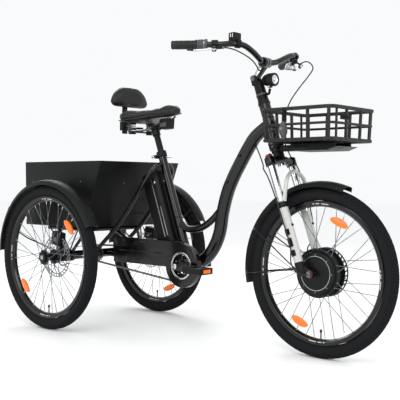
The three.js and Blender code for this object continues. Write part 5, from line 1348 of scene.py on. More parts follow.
def build_fork_lowers():
    shape = Shape()
    for s in (-1, 1):
        low, high = steer(300, s * FORK_SPREAD), steer(556, s * FORK_SPREAD)
        length = (high - low).length
        for profile, finish in (
                ([(14.4, 0), (15.6, 0), (16, 2), (16.6, 60), (17.6, length - 30), (18, length - 2),
                  (16, length), (14.4, length), (14.4, 0)], 0),
                ([(17.5, length - 23), (20.2, length - 22), (20.5, length - 20), (20.5, length - 7),
                  (19.4, length - 4), (15, length + 1.5), (14.4, length + 1.5), (14.4, length - 23),
                  (17.5, length - 23)], 1),
                ([(15.4, -1), (16.7, 0), (17.3, 44), (16.5, 46), (15.4, 44), (15.4, -1)], 1)):
            shape.turned(profile, low, STEER_UP, finish=finish, segments=40)
        shape.rod(low - STEER_UP * 3, low + STEER_UP * 6, 12, finish=1, sides=32, bevel=2)
        shape.rod(low - STEER_UP * 6, low - STEER_UP * 2, 7, finish=2, sides=24, bevel=1)
        for first, last in ((70, 92), (104, 136), (148, 170)):  # dark blocks down the leg's rear
            patch = [low + STEER_UP * t + (LEFT * s * math.cos(a) - STEER_FRONT * math.sin(a)) * r
                     for t in (first, last) for a in (-0.5, -0.1, 0.35, 0.8, 1.2) for r in (16, 18.3)]
            shape.hull(patch, finish=1)
        # dropout: a flat ear from the leg's foot to the axle
        y = s * FORK_SPREAD
        shape.hull([(x, y + i, z) for i in (-5.8, 5.8)
                    for x, z in arc(WHEELBASE, WHEEL_RADIUS, 15, 0, 360, 20)]
                   + [low + LEFT * i + STEER_UP * h + STEER_FRONT * f for i in (-6, 6) for h in (2, 34)
                      for f in (-12, 12)], finish=1, bevel=1.2)
        shape.rod(Vector((WHEELBASE, y - s * -5.6, WHEEL_RADIUS)),
                  Vector((WHEELBASE, y + s * 6.6, WHEEL_RADIUS)),
                  13.4, finish=2, sides=32)
        shape.rod(steer(470, y, 15), steer(470, y, 20.5), 5, finish=1, sides=20, bevel=0.6)
    arch = []
    for z, forward, share in ((544, 6, -0.98), (596, 32, -0.98), (632, 42, -0.72), (652, 44, 0)):
        arch.append(steer(z, share * FORK_SPREAD, forward))
    other = [Vector((p.x, -p.y, p.z)) for p in reversed(arch[:-1])]
    shape.tube([*arch, *other], 7.4, sides=20, steps=8, flat=1.0, finish=0)
    for s in (-1, 1):
        shape.tube([steer(572, s * 66, 21), steer(612, s * 63, 38), steer(640, s * 40, 44.5)],
                   [3, 3.4, 3], finish=2, sides=12)
    # the caliper's tab on the left leg
    shape.hull([(x, y, z) for y in (49, 58) for x, z in ((1072, 322), (1092, 322), (1098, 366), (1076, 366))],
               bevel=1.5)
    make("fork_lowers_casting", shape, "lowers", ["white_enamel", "powder_coat", "red_anodised"],
         "fork_lowers")

    axle = Shape()
    centre = Vector((WHEELBASE, 0, WHEEL_RADIUS))
    axle.rod(centre - LEFT * 84.7, centre + LEFT * 84.7, 5.8, sides=24, bevel=0.8)
    for s in (-1, 1):
        axle.rod(centre + LEFT * s * 71.3, centre + LEFT * s * 73.2, 12, sides=32)
        axle.rod(centre + LEFT * s * 73.2, centre + LEFT * s * 81, 10.4, sides=6, bevel=0.8)
    make("front_axle_bolt", axle, "lowers", "zinc_steel", "front_axle")


def build_front_fender():
    shape = Shape()
    fender_shell(shape, WHEELBASE, 0, 191, 70)
    for side in (-1, 1):
        for angle in (152, 184):
            foot = Vector((1085, side * 61, 316))
            top = on_wheel(WHEELBASE, side * 31, FENDER_RADIUS - 14, angle)
            bend = foot.lerp(top, 0.25) + LEFT * side * 2
            shape.tube([foot, bend, foot.lerp(top, 0.7), top], 2.4, finish=1, sides=10, steps=5)
            shape.screw(top, LEFT * side, 3, finish=2, height=1.2)
        shape.rod(foot - LEFT * 4, foot + LEFT * 4, 5, finish=1, sides=20, bevel=0.6)
    make("front_fender_shell", shape, "lowers", ["powder_coat", "gloss_enamel", "zinc_steel"],
         "front_fender")


# ---------------------------------------------------------------- seat and back rest
SADDLE_SIDE = [(458, 4), (444, 24), (398, 33), (348, 50), (298, 86), (253, 116), (220, 125), (194, 108),
               (186, 60), (190, 4)]
SADDLE_TOP = [(184, 900), (192, 922), (226, 929), (276, 926), (336, 932), (396, 949), (432, 950),
              (454, 936), (460, 922)]
SADDLE_UNDER = [(184, 886), (192, 880), (226, 878), (278, 886), (338, 898), (398, 902), (448, 906),
                (460, 914)]


def across(table, x):
    """The value of a table of (x, value) pairs at x, along straight stretches."""
    table = sorted(table)
    if x <= table[0][0]:
        return table[0][1]
    for (a, low), (b, high) in zip(table, table[1:]):
        if x <= b:
            share = (x - a) / (b - a)
            return low + (high - low) * share
    return table[-1][1]


def half_width(x):
    """The saddle's half width at x, on a smooth line through its outline."""
    line = curve_points([(px, py, 0) for px, py in SADDLE_SIDE], 10)
    return across([(p.x, p.y) for p in line if 186 <= p.x <= 458], x)


def swell(piece, cap, voxel=0.005, pressure=4.0):
    """Fills a pad like a cushion: cloth under pressure, with a limit on how far it may stand out."""
    scene = bpy.context.scene
    bpy.ops.object.select_all(action="DESELECT")
    bpy.context.view_layer.objects.active = piece
    piece.select_set(True)
    remesh = piece.modifiers.new("even", "REMESH")
    remesh.mode = "VOXEL"
    remesh.voxel_size = voxel
    bpy.ops.object.modifier_apply(modifier="even")
    before = [v.co.copy() for v in piece.data.vertices]
    cloth = piece.modifiers.new("cloth", "CLOTH")
    cloth.settings.use_pressure = True
    cloth.settings.uniform_pressure_force = pressure
    cloth.settings.effector_weights.gravity = 0.0
    cloth.settings.quality = 4
    for n in range(1, 21):
        scene.frame_set(n)
    evaluated = piece.evaluated_get(bpy.context.evaluated_depsgraph_get())
    after = [v.co.copy() for v in evaluated.data.vertices]
    piece.modifiers.clear()
    scene.frame_set(1)
    for vertex, old, new in zip(piece.data.vertices, before, after):
        move = new - old
        if move.length > cap:
            move = move.normalized() * cap
        vertex.co = old + move
    smooth = piece.modifiers.new("smooth", "SMOOTH")
    smooth.iterations = 3
    bpy.ops.object.modifier_apply(modifier="smooth")
    finer = piece.modifiers.new("finer", "SUBSURF")
    finer.levels = finer.render_levels = 1
    bpy.ops.object.modifier_apply(modifier="finer")
    piece.data.polygons.foreach_set("use_smooth", [True] * len(piece.data.polygons))
    return piece


def build_saddle():
    inset = 3.5
    rings = []
    stations = [187 + inset, 190, 196, 206, 220, 236, 254, 276, 300, 326, 352, 380, 408, 430, 444, 452,
                458 - inset]
    for x in stations:
        wide = max(half_width(x) - inset, 1.5)
        top = across(SADDLE_TOP, x) - inset
        under = across(SADDLE_UNDER, x) + inset
        ring = []
        count = 28
        dip = 5 * math.exp(-(((x - 300) / 90) ** 2))
        for k in range(count):
            t = 2 * math.pi * k / count
            a, b = math.cos(t), math.sin(t)
            a = math.copysign(abs(a) ** 0.5, a)
            tall = (top - under) / 2
            z = (top + under) / 2 + tall * math.copysign(abs(b) ** 0.5, b)
            z -= dip * (1 - abs(a)) if b > 0 else 0
            ring.append((x, wide * a, z))
        rings.append(ring)
    shape = Shape()
    shape.loft(rings)
    cover = swell(shape.object("saddle_cover", ["coated_vinyl"]), 0.006)
    settle(cover, "seat", "coated_vinyl", "saddle")

    trim = Shape()
    edge = []
    for side in (-1, 1):
        line = []
        for x in stations[2:-2]:
            wide = half_width(x) - 6
            z = across(SADDLE_UNDER, x) + 6
            line.append(Vector((x, side * wide, z)))
        edge.append(line)
    loop = [*edge[0], *reversed(edge[1])]
    loop.append(loop[0])
    trim.tube(loop, 2.2, sides=10, steps=3)
    for k, (x, reach) in enumerate(((236, 92), (300, 48))):  # sewn channels over the top
        line = []
        for j in range(-8, 9):
            y = reach * j / 8
            share = abs(y) / (half_width(x) - 3)
            z = across(SADDLE_TOP, x + 10 * (1 - share)) - 3.2 - 16 * max(share - 0.5, 0) ** 2
            line.append(Vector((x + 10 * (1 - share), y, z - 3)))
        trim.tube(line, 1.4, sides=8, steps=3)
    make("saddle_piping", trim, "seat", "vinyl_piping")


def build_saddle_frame():
    shape = Shape()
    head = seat(848)
    shape.rod(seat(600.4), seat(846), 13.4, finish=0, sides=36, bevel=0.6)
    make("seatpost_tube", shape, "seat", "powder_coat", "seatpost")
    shape = Shape()
    top = head + UP * 12
    shape.rod(top - LEFT * 26, top + LEFT * 26, 14.6, sides=32, bevel=1.5)
    for side in (-1, 1):
        shape.tube([(222, side * 40, 841), (290, side * 30, 848), (head.x, side * 22, head.z + 12),
                    (380, side * 18, 884), (415, side * 12, 899)], 3.9, finish=1, sides=14, steps=7)
        x, y = 222, side * 52
        coil = []
        turns = 5.5
        for k in range(int(turns * 16) + 1):
            t = 2 * math.pi * k / 16
            bulge = 14 + 1.4 * math.sin(math.pi * k / (turns * 16))
            coil.append(Vector((x + bulge * math.cos(t), y + bulge * math.sin(t),
                                833 + 42 * k / (turns * 16))))
        shape.tube(coil, 2.2, finish=1, sides=8, smooth=False)
        shape.rod((x, y, 830.4), (x, y, 834), 16.8, sides=32, bevel=0.8)
        shape.rod((x, y, 873), (x, y, 876.6), 16.8, sides=32, bevel=0.8)
    shape.rod(seat(822), seat(852), 17, sides=36, bevel=1)
    shape.hull([(x, y, z) for x in (208, 238) for y in (-66, 66) for z in (837.4, 842.6)], bevel=1.5)
    shape.hull([(x, y, z) for x in (128, 222) for y in (-14.6, 14.6) for z in (854.4, 861.6)], bevel=1)
    shape.box((106.4, -19.6, 852.4), (129.6, 19.6, 891.6), bevel=2)
    shape.screw((129.6, 0, 872), Vector((1, 0, 0)), 4, finish=1, height=2)
    shape.hull([(x, y, z) for y in (-24, 24) for x, z in ((353, 847), (400, 849), (403, 894), (356, 890))],
               finish=2, bevel=4, steps=3)
    for side in (-1, 1):
        shape.hull([(x, side * y, z) for y in (23.4, 24.6)
                    for x, z in ((360, 856), (396, 858), (396, 876), (360, 872))],
                   finish=3, bevel=0.5)
    make("saddle_frame_parts", shape, "seat",
         ["powder_coat", "zinc_steel", "moulded_nylon", "grey_elastomer"], "saddle_frame")


def build_back_rest():
    post = Shape()
    post.box((113.3, -12.7, 838.3), (122.7, 12.7, 1003.7), bevel=1.5)
    post.rod((118, -17, REST_PIVOT_Z), (118, 17, REST_PIVOT_Z), 6.8, finish=1, bevel=0.8)
    for z in (905, 925, 945, 965):
        post.rod((117, 0, z), (123.2, 0, z), 3, finish=1, sides=20, bevel=0.3)
    make("backrest_post_flat", post, "backrest_post", ["powder_coat", "zinc_steel"], "backrest_post")

    half = [(40, 952), (84, 953), (97, 957), (108, 970), (103, 988), (92, 1006), (74, 1022), (52, 1035),
            (24, 1039.4), (0, 1040)]
    outline = curve_points([(0, y, z) for y, z in half], 4)
    face = [(p.y, p.z) for p in outline]
    face = [*face, *[(-y, z) for y, z in reversed(face[:-1])]]
    shape = Shape()
    rings = []
    for x, share in ((139, 0.9), (141, 0.95), (146, 0.975), (156, 0.975), (162, 0.93), (165, 0.82)):
        ring = []
        for y, z in face:
            bow = -4.0 * (y / 108) ** 2 + 4
            ring.append((x - 4 + bow * (1 if x > 150 else 0.4), y * share, 996 + (z - 996) * share))
        rings.append(ring)
    shape.loft(rings)
    pad = swell(shape.object("backrest_cover", ["coated_vinyl"]), 0.004)
    settle(pad, "backrest", "coated_vinyl", "backrest")

    trim = Shape()
    loop = [Vector((142, y * 0.94, 996 + (z - 996) * 0.94)) for y, z in face]
    loop.append(loop[0])
    trim.tube(loop, 2.0, sides=10, smooth=False)
    back = [(134.4, y * 0.88, 996 + (z - 996) * 0.88) for y, z in face]
    front = [(138, y * 0.93, 996 + (z - 996) * 0.93) for y, z in face]
    trim.loft([back, front], finish=1)
    for side in (-1, 1):
        near, far = sorted((side * 17.5, side * 22.8))
        trim.hull([(x, y, z) for y in (near, far) for x, z in
                   ((110.4, 983.4), (110.4, 1000.6), (137, 1000.6), (137, 983.4))], finish=1, bevel=1.2)
        trim.screw((118, side * 22.8, REST_PIVOT_Z), LEFT * side, 4.5, finish=2, height=1.5)
    # a grey lip along the pad's lower front edge: a painted highlight where that edge catches the light
    lip = [(157, y, 957 + 0.0012 * (y * y)) for y in (-84, -56, -28, 0, 28, 56, 84)]
    trim.tube(lip, 2.6, finish=3, sides=12, steps=4)
    make("backrest_shell", trim, "backrest",
         ["vinyl_piping", "moulded_nylon", "zinc_steel", "grey_elastomer"])


# ---------------------------------------------------------------- stem, lamp and handlebar
def build_stem():
    shape = Shape()
    top = steer(PIVOT.z - 14)
    low = steer(HEAD_TOP + 0.4)
    length = (top - low).length
    shape.turned([(14.8, 0), (21.8, 0), (21.8, 8), (20.6, 10), (19.6, length - 2), (18, length),
                  (0, length), (0, 14), (14.8, 14), (14.8, 0)], low, STEER_UP, segments=48)
    shape.turned([(20, 26), (21.6, 26.4), (21.6, 33.6), (20, 34), (20, 26)], low, STEER_UP, finish=1)
    for s in (-1, 1):
        near, far = sorted((s * 10.4, s * 18))
        outline = [(top.x - 15, top.z - 14), (top.x + 15, top.z - 8), (PIVOT.x + 14, PIVOT.z - 2),
                   (PIVOT.x + 11, PIVOT.z + 9), (PIVOT.x + 2, PIVOT.z + 13.4), (PIVOT.x - 8, PIVOT.z + 11.4),
                   (PIVOT.x - 13, PIVOT.z + 4)]
        shape.hull([(x, y, z) for y in (near, far) for x, z in outline], bevel=1.2)
        pivot = PIVOT + LEFT * s * 18
        shape.rod(pivot, pivot + LEFT * s * 1, 9, finish=2, sides=32)
        shape.rod(pivot, pivot + LEFT * s * 3, 6, finish=2, sides=6, bevel=0.5)
    shape.rod(PIVOT - LEFT * 20.8, PIVOT + LEFT * 20.8, 4.9, finish=2)
    shape.tube([steer(962, 0, 12), (910, 0, 958), (917, 0, 978)], 4.9, sides=14)
    for z in (940, 952):
        shape.screw(steer(z, 0, -21.4), -STEER_FRONT, 3, finish=2, height=1.4)
    make("stem_column_casting", shape, "steering", ["powder_coat", "grey_elastomer", "zinc_steel"],
         "stem_column")

    arm = Shape()
    along = (CLAMP - PIVOT).normalized()
    side = Vector((-along.z, 0, along.x))
    rings = []
    for t, deep, half in ((-12, 8, 9.8), (-8, 12.5, 9.9), (6, 13.8, 9.9), (18, 13, 9.9), (24, 12.8, 11),
                          (44, 13.4, 13.2), (62, 14.6, 15.4), (72, 15, 16)):
        rings.append([PIVOT + along * t + LEFT * (a * half) + side * (b * deep) for a, b in
                      ((-1, -0.62), (-0.7, -1), (0.7, -1), (1, -0.62), (1, 0.62), (0.7, 1), (-0.7, 1),
                       (-1, 0.62))])
    arm.loft(rings, bevel=1.5)
    arm.turned([(12.9, -21), (18.6, -21), (19, -20), (19, 20), (18.6, 21), (12.9, 21), (12.9, -21)],
               CLAMP)
    for y in (-13, 13):
        out = along * 0.9 + side * 0.44
        arm.screw(CLAMP + LEFT * y + out.normalized() * 18.4, out, 3, finish=1, height=2)
    arm.ring(19, 19.6, -8, -6.5, CLAMP, finish=1)
    arm.ring(19, 19.6, 6.5, 8, CLAMP, finish=1)
    # a polished silver strip on the near side of the arm only: a painted highlight on the black arm
    near_side_painted_highlight = [PIVOT + along * t + LEFT * (-half - 0.2 + i) + side * (b * 7)
              for t, half in ((-4, 10), (58, 14.9))
              for i in (0, 1.2) for b in (-1, 1)]
    arm.hull(near_side_painted_highlight, finish=1, bevel=0.3)
    make("stem_arm_forging", arm, "bars", ["gloss_enamel", "polished_silver"], "stem_arm")


def build_headlight():
    x, z = 913, 1010
    shape = Shape()
    fore = Vector((1, 0, 0))
    shape.turned([(0, -26), (13, -26), (15.5, -24), (20, -10), (24, 4), (25, 8), (25, 26), (24, 28),
                  (21.5, 28), (21.5, 23), (0, 23)], (x, 0, z), fore, segments=56)
    for k in range(4):
        t = -18 + 5.2 * k
        r = 15.6 + 0.32 * (t + 24)
        shape.ring(r + 0.6, r + 2.2, t, t + 1.6, (x, 0, z), fore, segments=48, bevel=0.4)
    shape.turned([(0, 22), (16.5, 22), (17, 26.4), (15.5, 26.8), (11, 24.5), (0, 23.2)], (x, 0, z), fore,
                 finish=1, segments=48)
    shape.turned([(16.8, 22), (22, 22), (22, 27.6), (19, 27.2), (16.8, 26), (16.8, 22)], (x, 0, z), fore,
                 segments=48)
    shape.turned([(0, 23.6), (5, 23.6), (5, 25.8), (3, 27), (0, 27.2)], (x, 0, z), fore, finish=2,
                 segments=32)
    shape.box((910.3, -6.7, 980.8), (923.7, 6.7, z - 14), bevel=1.5)
    shape.screw((917, -6.7, 988), -LEFT, 3, finish=1, height=1)
    make("headlight_shell", shape, "steering", ["moulded_nylon", "clear_lens", "polished_silver"],
         "headlight")


def bar_points(side):
    return [(894, side * 20, 1077), (906, side * 52, 1083), (911, side * 100, 1103),
            (908, side * 150, 1120), (895, side * 195, 1121), (868, side * 228, 1117)]


def build_handlebar():
    shape = Shape()
    shape.rod(CLAMP - LEFT * 24, CLAMP + LEFT * 24, 12.6, sides=32, bevel=0.6)
    for s in (-1, 1):
        end = BarSide(s)
        line = [*curve_points(bar_points(s), 8)]
        line += [end.at(t) for t in (30, 90, end.reach - 0.4)]
        shape.tube(line, BAR_RADIUS - 0.1, sides=28, smooth=False)
    make("handlebar_tube", shape, "bars", "gloss_enamel", "handlebar")


def grip(side, start, name):
    end = BarSide(side)
    length = 178.4 - start
    shape = Shape()
    profile = [(11.4, 0), (17, 0), (18.2, 1.5), (18.2, 4), (16, 6)]
    ridge = 6.0
    t = 8.0
    while t < length - 12:
        profile += [(15.9, t), (15.9, t + ridge * 0.5), (14.9, t + ridge * 0.62), (14.9, t + ridge * 0.9)]
        t += ridge
    profile += [(15.6, length - 6), (15.6, length - 3), (13, length), (11.4, length), (11.4, 0)]
    shape.turned(profile, end.at(start), end.along, segments=40)
    shape.turned([(0, length - 2.5), (12, length - 2.5), (12, length - 0.6), (10, length - 0.1), (0, length)],
                 end.at(start), end.along, finish=1, segments=32)
    palm = [end.at(t, f, u) for t, f, u in ((start + 30, -9, 11), (start + length - 12, -10, 11),
                                            (start + 30, 3, 15), (start + length - 14, 2, 14.6))]
    shape.hull([*palm, *[p - UP * 2.5 for p in palm]], finish=2, bevel=1)
    make(name + "_ribs", shape, "bars", ["grip_rubber", "moulded_nylon", "grey_elastomer"], name)


def build_grips():
    grip(-1, 86.4, "grip_right")
    grip(1, 40, "grip_left")
    end = BarSide(-1)
    shape = Shape()
    profile = [(11.8, 0), (18.4, 0), (19.8, 1.4), (19.8, 9), (18.6, 10)]
    shape.turned([*profile, (18.6, 12), (17.8, 13), (17.2, 35), (16, 37.7), (11.8, 37.7), (11.8, 0)],
                 end.at(48.2), end.along, segments=48)
    shape.turned([(18.4, 10.4), (19.4, 10.8), (19.4, 11.8), (18.4, 12.2), (18.4, 10.4)], end.at(48.2),
                 end.along, finish=1, segments=48)
    for k in range(18):
        t = 2 * math.pi * k / 18
        out = end.front * math.cos(t) + UP * math.sin(t)
        shape.bar(end.at(63) + out * 17.4, end.at(82) + out * 16.9, 2.2, 2.2, bevel=0.6)
    mark = end.at(53) + (end.front * -0.4 + UP * 0.9).normalized() * 19.6
    shape.rod(mark, mark + (end.front * -0.4 + UP * 0.9) * 0.7, 4, finish=2, sides=24)
    make("shift_twist_sleeve", shape, "shift_twist", ["grey_elastomer", "polished_silver", "red_lens"],
         "shift_twist")


def lever_frame(side):
    """The pivot of a brake lever, the direction of its blade, its outward side and its axis."""
    end = BarSide(side)
    pivot = end.at(22, 30, -20)
    towards = end.at(0, 0.8, -0.6) - end.at(0)
    axis = end.along.cross(towards).normalized()
    out = axis.cross(end.along).normalized()
    return end, pivot, end.along, out, axis


def build_brake_levers():
    for name, side in (("right", -1), ("left", 1)):
        end, pivot, along, out, axis = lever_frame(side)
        holder = Shape()
        holder.sleeve(end.at(10.3), end.at(33.7), 11.5, 16.3, bevel=1)
        arms = [end.at(t, f, u) for t in (13, 31) for f, u in ((9, -8), (14, -3), (26, -24), (32, -16))]
        for k in (-1, 1):
            low, high = sorted((k * 4.4, k * 8))
            holder.hull([pivot + axis * h + along * a + out * b for h in (low, high) for a, b in
                         ((-9, -6), (-6, 8), (7, 8), (9, -4))], bevel=1)
        holder.hull([p - axis * 0 for p in arms[:4]] + [end.at(12, 20, -10)], bevel=1.2)
        holder.rod(end.at(14, 26, -16), end.at(-6, 23, -16), 5.6, 4.6, finish=0, sides=20, bevel=0.8)
        holder.rod(end.at(-6, 23, -16), end.at(-12, 22, -16), 4.4, finish=1, sides=12, bevel=0.6)
        holder.rod(pivot - axis * 8.6, pivot + axis * 8.6, 4, finish=1, sides=24, bevel=0.6)
        holder.screw(end.at(22, -4, -16), Vector((0, 0, -1)), 2.6, finish=1, height=1.4)
        make(f"lever_holder_{name}_clamp", holder, "bars", ["powder_coat", "zinc_steel"],
             f"lever_holder_{name}")
        blade = Shape()
        blade.rod(pivot - axis * 3.6, pivot + axis * 3.6, 7.8, sides=28, bevel=0.8)
        line = [pivot + along * a + out * b for a, b in ((3, 0), (30, 6), (66, 9), (96, 3.4))]
        blade.tube(line, [3.8, 3.8, 3.8, 3.6], sides=16, steps=7)
        tip = [pivot + along * a + out * b for a, b in ((64, 8.9), (80, 7), (96, 3.4))]
        blade.tube(tip, [4.0, 4.1, 4.0], finish=1, sides=16, steps=5)
        make(f"brake_lever_{name}_blade", blade, f"brake_lever_{name}",
             ["polished_silver", "grip_rubber"], f"brake_lever_{name}")


def build_display():
    x, y, top = 889, -176, 1163
    shape = Shape()
    shape.hull([(x + i, y + j, z) for i in (-14.6, 14.6) for j in (-18.6, 18.6) for z in (1129, top - 2)]
               + [(x + i, y + j, top) for i in (-12, 12) for j in (-16, 16)], bevel=2.5, steps=3)
    shape.hull([(x + i, y + j, z) for i in (-10, 10) for j in (-15, 6) for z in (top - 1, top + 0.3)],
               finish=1, bevel=0.4)
    for s in (-1, 1):
        for j in (-7, 2.5):
            shape.hull([(x + i, y + s * 18.6 + s * g * 0.5, z) for i in (j, j + 3) for g in (-1, 0.6)
                        for z in (1146, 1158)], finish=2)
    for i in (-6, 0):
        shape.hull([(x - 14.6 - 0.3, y + j, z) for j in (i - 5, i - 2) for z in (1146, 1158)]
                   + [(x - 14, y + j, z) for j in (i - 5, i - 2) for z in (1146, 1158)], finish=2)
    low, high = Vector((905.5, -168, 1123)), Vector((899.5, -184, 1123))
    shape.sleeve(low, high, 12.8, 16.6, bevel=1)
    make("display_case", shape, "bars", ["moulded_nylon", "gloss_enamel", "screen_white"], "display")


def build_assist_button():
    button = Shape()
    x, y = 889, -176
    button.hull([(x + i, y + j, z) for i in (-3.9, 3.9) for j in (-3.9, 3.9) for z in (1160.8, 1165.4)],
                bevel=0.8)
    make("assist_button_cap", button, "assist_button", "grey_elastomer", "assist_button")


def build_bell():
    bell = Shape()
    bell.turned([(0, 23.7), (8, 23.2), (14, 21), (18.4, 16), (20.6, 10), (21, 4), (21, 0.4), (19.6, 0.4),
                 (19.4, 6), (17, 14), (12, 19), (0, 21.5)], (880, 180, 1072), UP, segments=48)
    bell.rod((880, 180, 1094), (880, 180, 1097.5), 3.2, finish=1, sides=6)
    bell.box((890.4, 172.4, 1092.4), (909.6, 187.6, 1106), finish=2, bevel=1.5)
    bell.box((872, 174, 1092.6), (892, 187.6, 1096.4), finish=2, bevel=1)
    bell.sleeve((906, 173, 1120.6), (899, 187, 1120.8), 12, 15, finish=2)
    make("bell_dome", bell, "bars", ["anodised_silver", "zinc_steel", "moulded_nylon"], "bell")


def build_bell_lever():
    pivot = Vector((876, 188, 1097))
    lever = Shape()
    lever.turned([(0, 0.4), (5.8, 0.4), (5.8, 4), (5, 4.8), (0, 4.8)], pivot, UP, segments=24)
    lever.hull([pivot + Vector((x, y, z)) for z in (1, 3.6) for x, y in
                ((2, -4), (4, 3), (-24, 25), (-29.5, 14.5))], bevel=0.8)
    make("bell_lever_blade", lever, "bell_lever", "polished_silver", "bell_lever")


# ---------------------------------------------------------------- cables
def outlet(side, reach=0):
    return BarSide(side).at(-13 - reach, 22, -16)


CABLE_RADIUS = 2.4
FRONT_CABLE = [outlet(1), outlet(1, 8), (916, 219, 1102), (942, 205, 1100), (975, 185, 1085),
               (996, 166, 1062), (990, 142, 1030), (966, 120, 988), (938, 104, 940), (918, 96, 885),
               (912, 93, 830), (922, 92, 775), (946, 94, 728), (978, 95, 685), (1008, 93, 630),
               (1032, 92, 560), (1052, 91, 480), (1056, 90, 425), (1048, 76, 395), (1054, 56, 385),
               (1058, 50, 375.5)]
REAR_CABLE = [outlet(-1), outlet(-1, 8), (918, -215, 1095), (936, -190, 1082), (938, -150, 1070),
              (924, -105, 1060), (902, -60, 1052), (884, -30, 1048), (877, -14, 1047)]
MOTOR_CABLE = [(858, -6, 762.5), (872, -14, 748), (900, -34, 722), steer(700, -58, -40),
               steer(684, -84, -25), steer(650, -91, -11), steer(560, -91, -2), steer(480, -90, 0),
               steer(400, -89, 0), (1086, -93, 340), (1112, -102, 314), (1134, -102, 306),
               (1147, -94, 305), (1148, -85.5, 305)]


def cable(name, line, finish="grip_rubber"):
    """A cable's jacket along a line already smoothed."""
    shape = Shape()
    shape.tube(line, CABLE_RADIUS, sides=12, smooth=False)
    return shape.object(name, [finish])


def build_cables():
    front = curve_points(FRONT_CABLE, 8)
    split = next(k for k, p in enumerate(front) if p.z < 745 and k > 60)
    upper = cable("front_brake_cable_upper", front[:split + 1])
    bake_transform(upper)
    lower = cable("front_brake_cable_lower", front[split:])
    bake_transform(lower)
    motor = curve_points(MOTOR_CABLE, 8)
    split = next(k for k, p in enumerate(motor) if p.z < 640)
    first = cable("motor_cable_upper", motor[:split + 1])
    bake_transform(first)
    second = cable("motor_cable_lower", motor[split:])
    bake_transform(second)
    for piece in (upper, lower):
        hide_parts("front_brake_cable")
    for piece in (first, second):
        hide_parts("motor_cable")
    rear = cable("rear_brake_cable_jacket", curve_points(REAR_CABLE, 8))
    settle(rear, "bars", "grip_rubber", "rear_brake_cable")


# ---------------------------------------------------------------- stage
CAMERA = Vector((2687.8, -2367.1, 620.6))
TARGET = Vector((568.38, 0, 553.48))
CAMERA_ROLL = math.radians(0.38)
SENSOR_MM = 36
LENS_MM = 70.56


def area_light(name, place, target, size, power, colour="#ffffff"):
    data = bpy.data.lights.new(name, "AREA")
    data.shape = "RECTANGLE"
    data.size, data.size_y = size
    data.energy = power
    data.color = linear(colour)[:3]
    lamp = bpy.data.objects.new(name, data)
    lamp.location = place
    lamp.rotation_euler = (Vector(target) - Vector(place)).to_track_quat("-Z", "Y").to_euler()
    bpy.context.scene.collection.objects.link(lamp)
    return lamp


def build_stage(settings):
    scene = bpy.context.scene
    scene.view_settings.view_transform = "Standard"
    mesh = bpy.data.meshes.new("floor")
    reach = settings.floor_size / 2
    mesh.from_pydata([(-reach, -reach, 0), (reach, -reach, 0), (reach, reach, 0), (-reach, reach, 0)],
                     [], [(0, 1, 2, 3)])
    floor = bpy.data.objects.new("floor", mesh)
    scene.collection.objects.link(floor)
    surface = bpy.data.materials.new("pale_floor")
    surface.use_nodes = True
    tree = surface.node_tree
    tree.nodes.clear()
    place = node(tree, "ShaderNodeTexCoord").outputs["Object"]
    noise = node(tree, "ShaderNodeTexNoise", {"Vector": place, "Scale": 1.5, "Detail": 3.0})
    shade = node(tree, "ShaderNodeMapRange", {
        "Value": noise.outputs["Fac"], "To Min": 0.975, "To Max": 1.025})
    tone = node(tree, "ShaderNodeHueSaturation", {
        "Color": (*settings.floor_colour, 1.0), "Value": shade.outputs["Result"]})
    shader = node(tree, "ShaderNodeBsdfPrincipled", {
        "Base Color": tone.outputs["Color"], "Roughness": 0.6})
    node(tree, "ShaderNodeOutputMaterial", {"Surface": shader.outputs["BSDF"]})
    mesh.materials.append(surface)

    world = bpy.data.worlds.new("studio")
    scene.world = world
    world.use_nodes = True
    world.node_tree.nodes.clear()
    sky = node(world.node_tree, "ShaderNodeBackground", {
        "Color": linear("#f4f5f6"), "Strength": settings.sky_strength})
    node(world.node_tree, "ShaderNodeOutputWorld", {"Surface": sky.outputs["Background"]})

    power = settings.light_power
    area_light("key_light", (1.6, -2.6, 3.0), (0, 0, 0.5), (2.4, 2.4), power)
    area_light("front_light", (3.4, 0.4, 1.8), (0, 0, 0.6), (1.8, 1.8), power * 0.45)
    area_light("rear_light", (-2.6, 1.8, 2.6), (0, 0, 0.6), (2.0, 2.0), power * 0.6)
    area_light("side_strip", (-0.6, -3.2, 1.0), (0, 0, 0.6), (3.0, 0.5), power * 0.25)

    data = bpy.data.cameras.new("camera")
    data.sensor_width = SENSOR_MM
    data.lens = settings.lens
    camera = bpy.data.objects.new("camera", data)
    scene.collection.objects.link(camera)
    here, there = PLACE @ CAMERA, PLACE @ TARGET
    look = (there - here).normalized()
    right = look.cross(UP).normalized()
    up = right.cross(look)
    tilted = right * math.cos(CAMERA_ROLL) + up * math.sin(CAMERA_ROLL)
    upward = tilted.cross(look)
    turn = Matrix((tilted, upward, -look)).transposed().to_4x4()
    camera.matrix_world = Matrix.Translation(here) @ turn
    scene.camera = camera


# ---------------------------------------------------------------- settings a user would change
def hex_colour(hex_value):
    return linear(hex_value)[:3]


def colour_property(name, description, hex_value):
    return bpy.props.FloatVectorProperty(name=name, description=description, subtype="COLOR", size=3,
                                         min=0.0, max=1.0, default=hex_colour(hex_value))


class TricycleFinishes(bpy.types.PropertyGroup):
    frame_colour: colour_property("Frame", "Enamel of the frame, fork crown and bars", "#040405")
    basket_colour: colour_property("Basket", "Plastic of the front basket", "#191816")
    fork_colour: colour_property("Fork", "Paint of the fork's lower legs", "#b9b9b5")
    seat_colour: colour_property("Saddle", "Coated fabric of the saddle and back rest", "#0c0c0c")


class TricycleWheels(bpy.types.PropertyGroup):
    spokes: bpy.props.IntProperty(name="Spokes", description="Wire spokes in each wheel, a multiple of 4",
                                  default=36, min=12, max=48, step=4)
    tread_rows: bpy.props.IntProperty(name="Tread rows", description="Rows of tread blocks round a tyre",
                                      default=78, min=40, max=120)


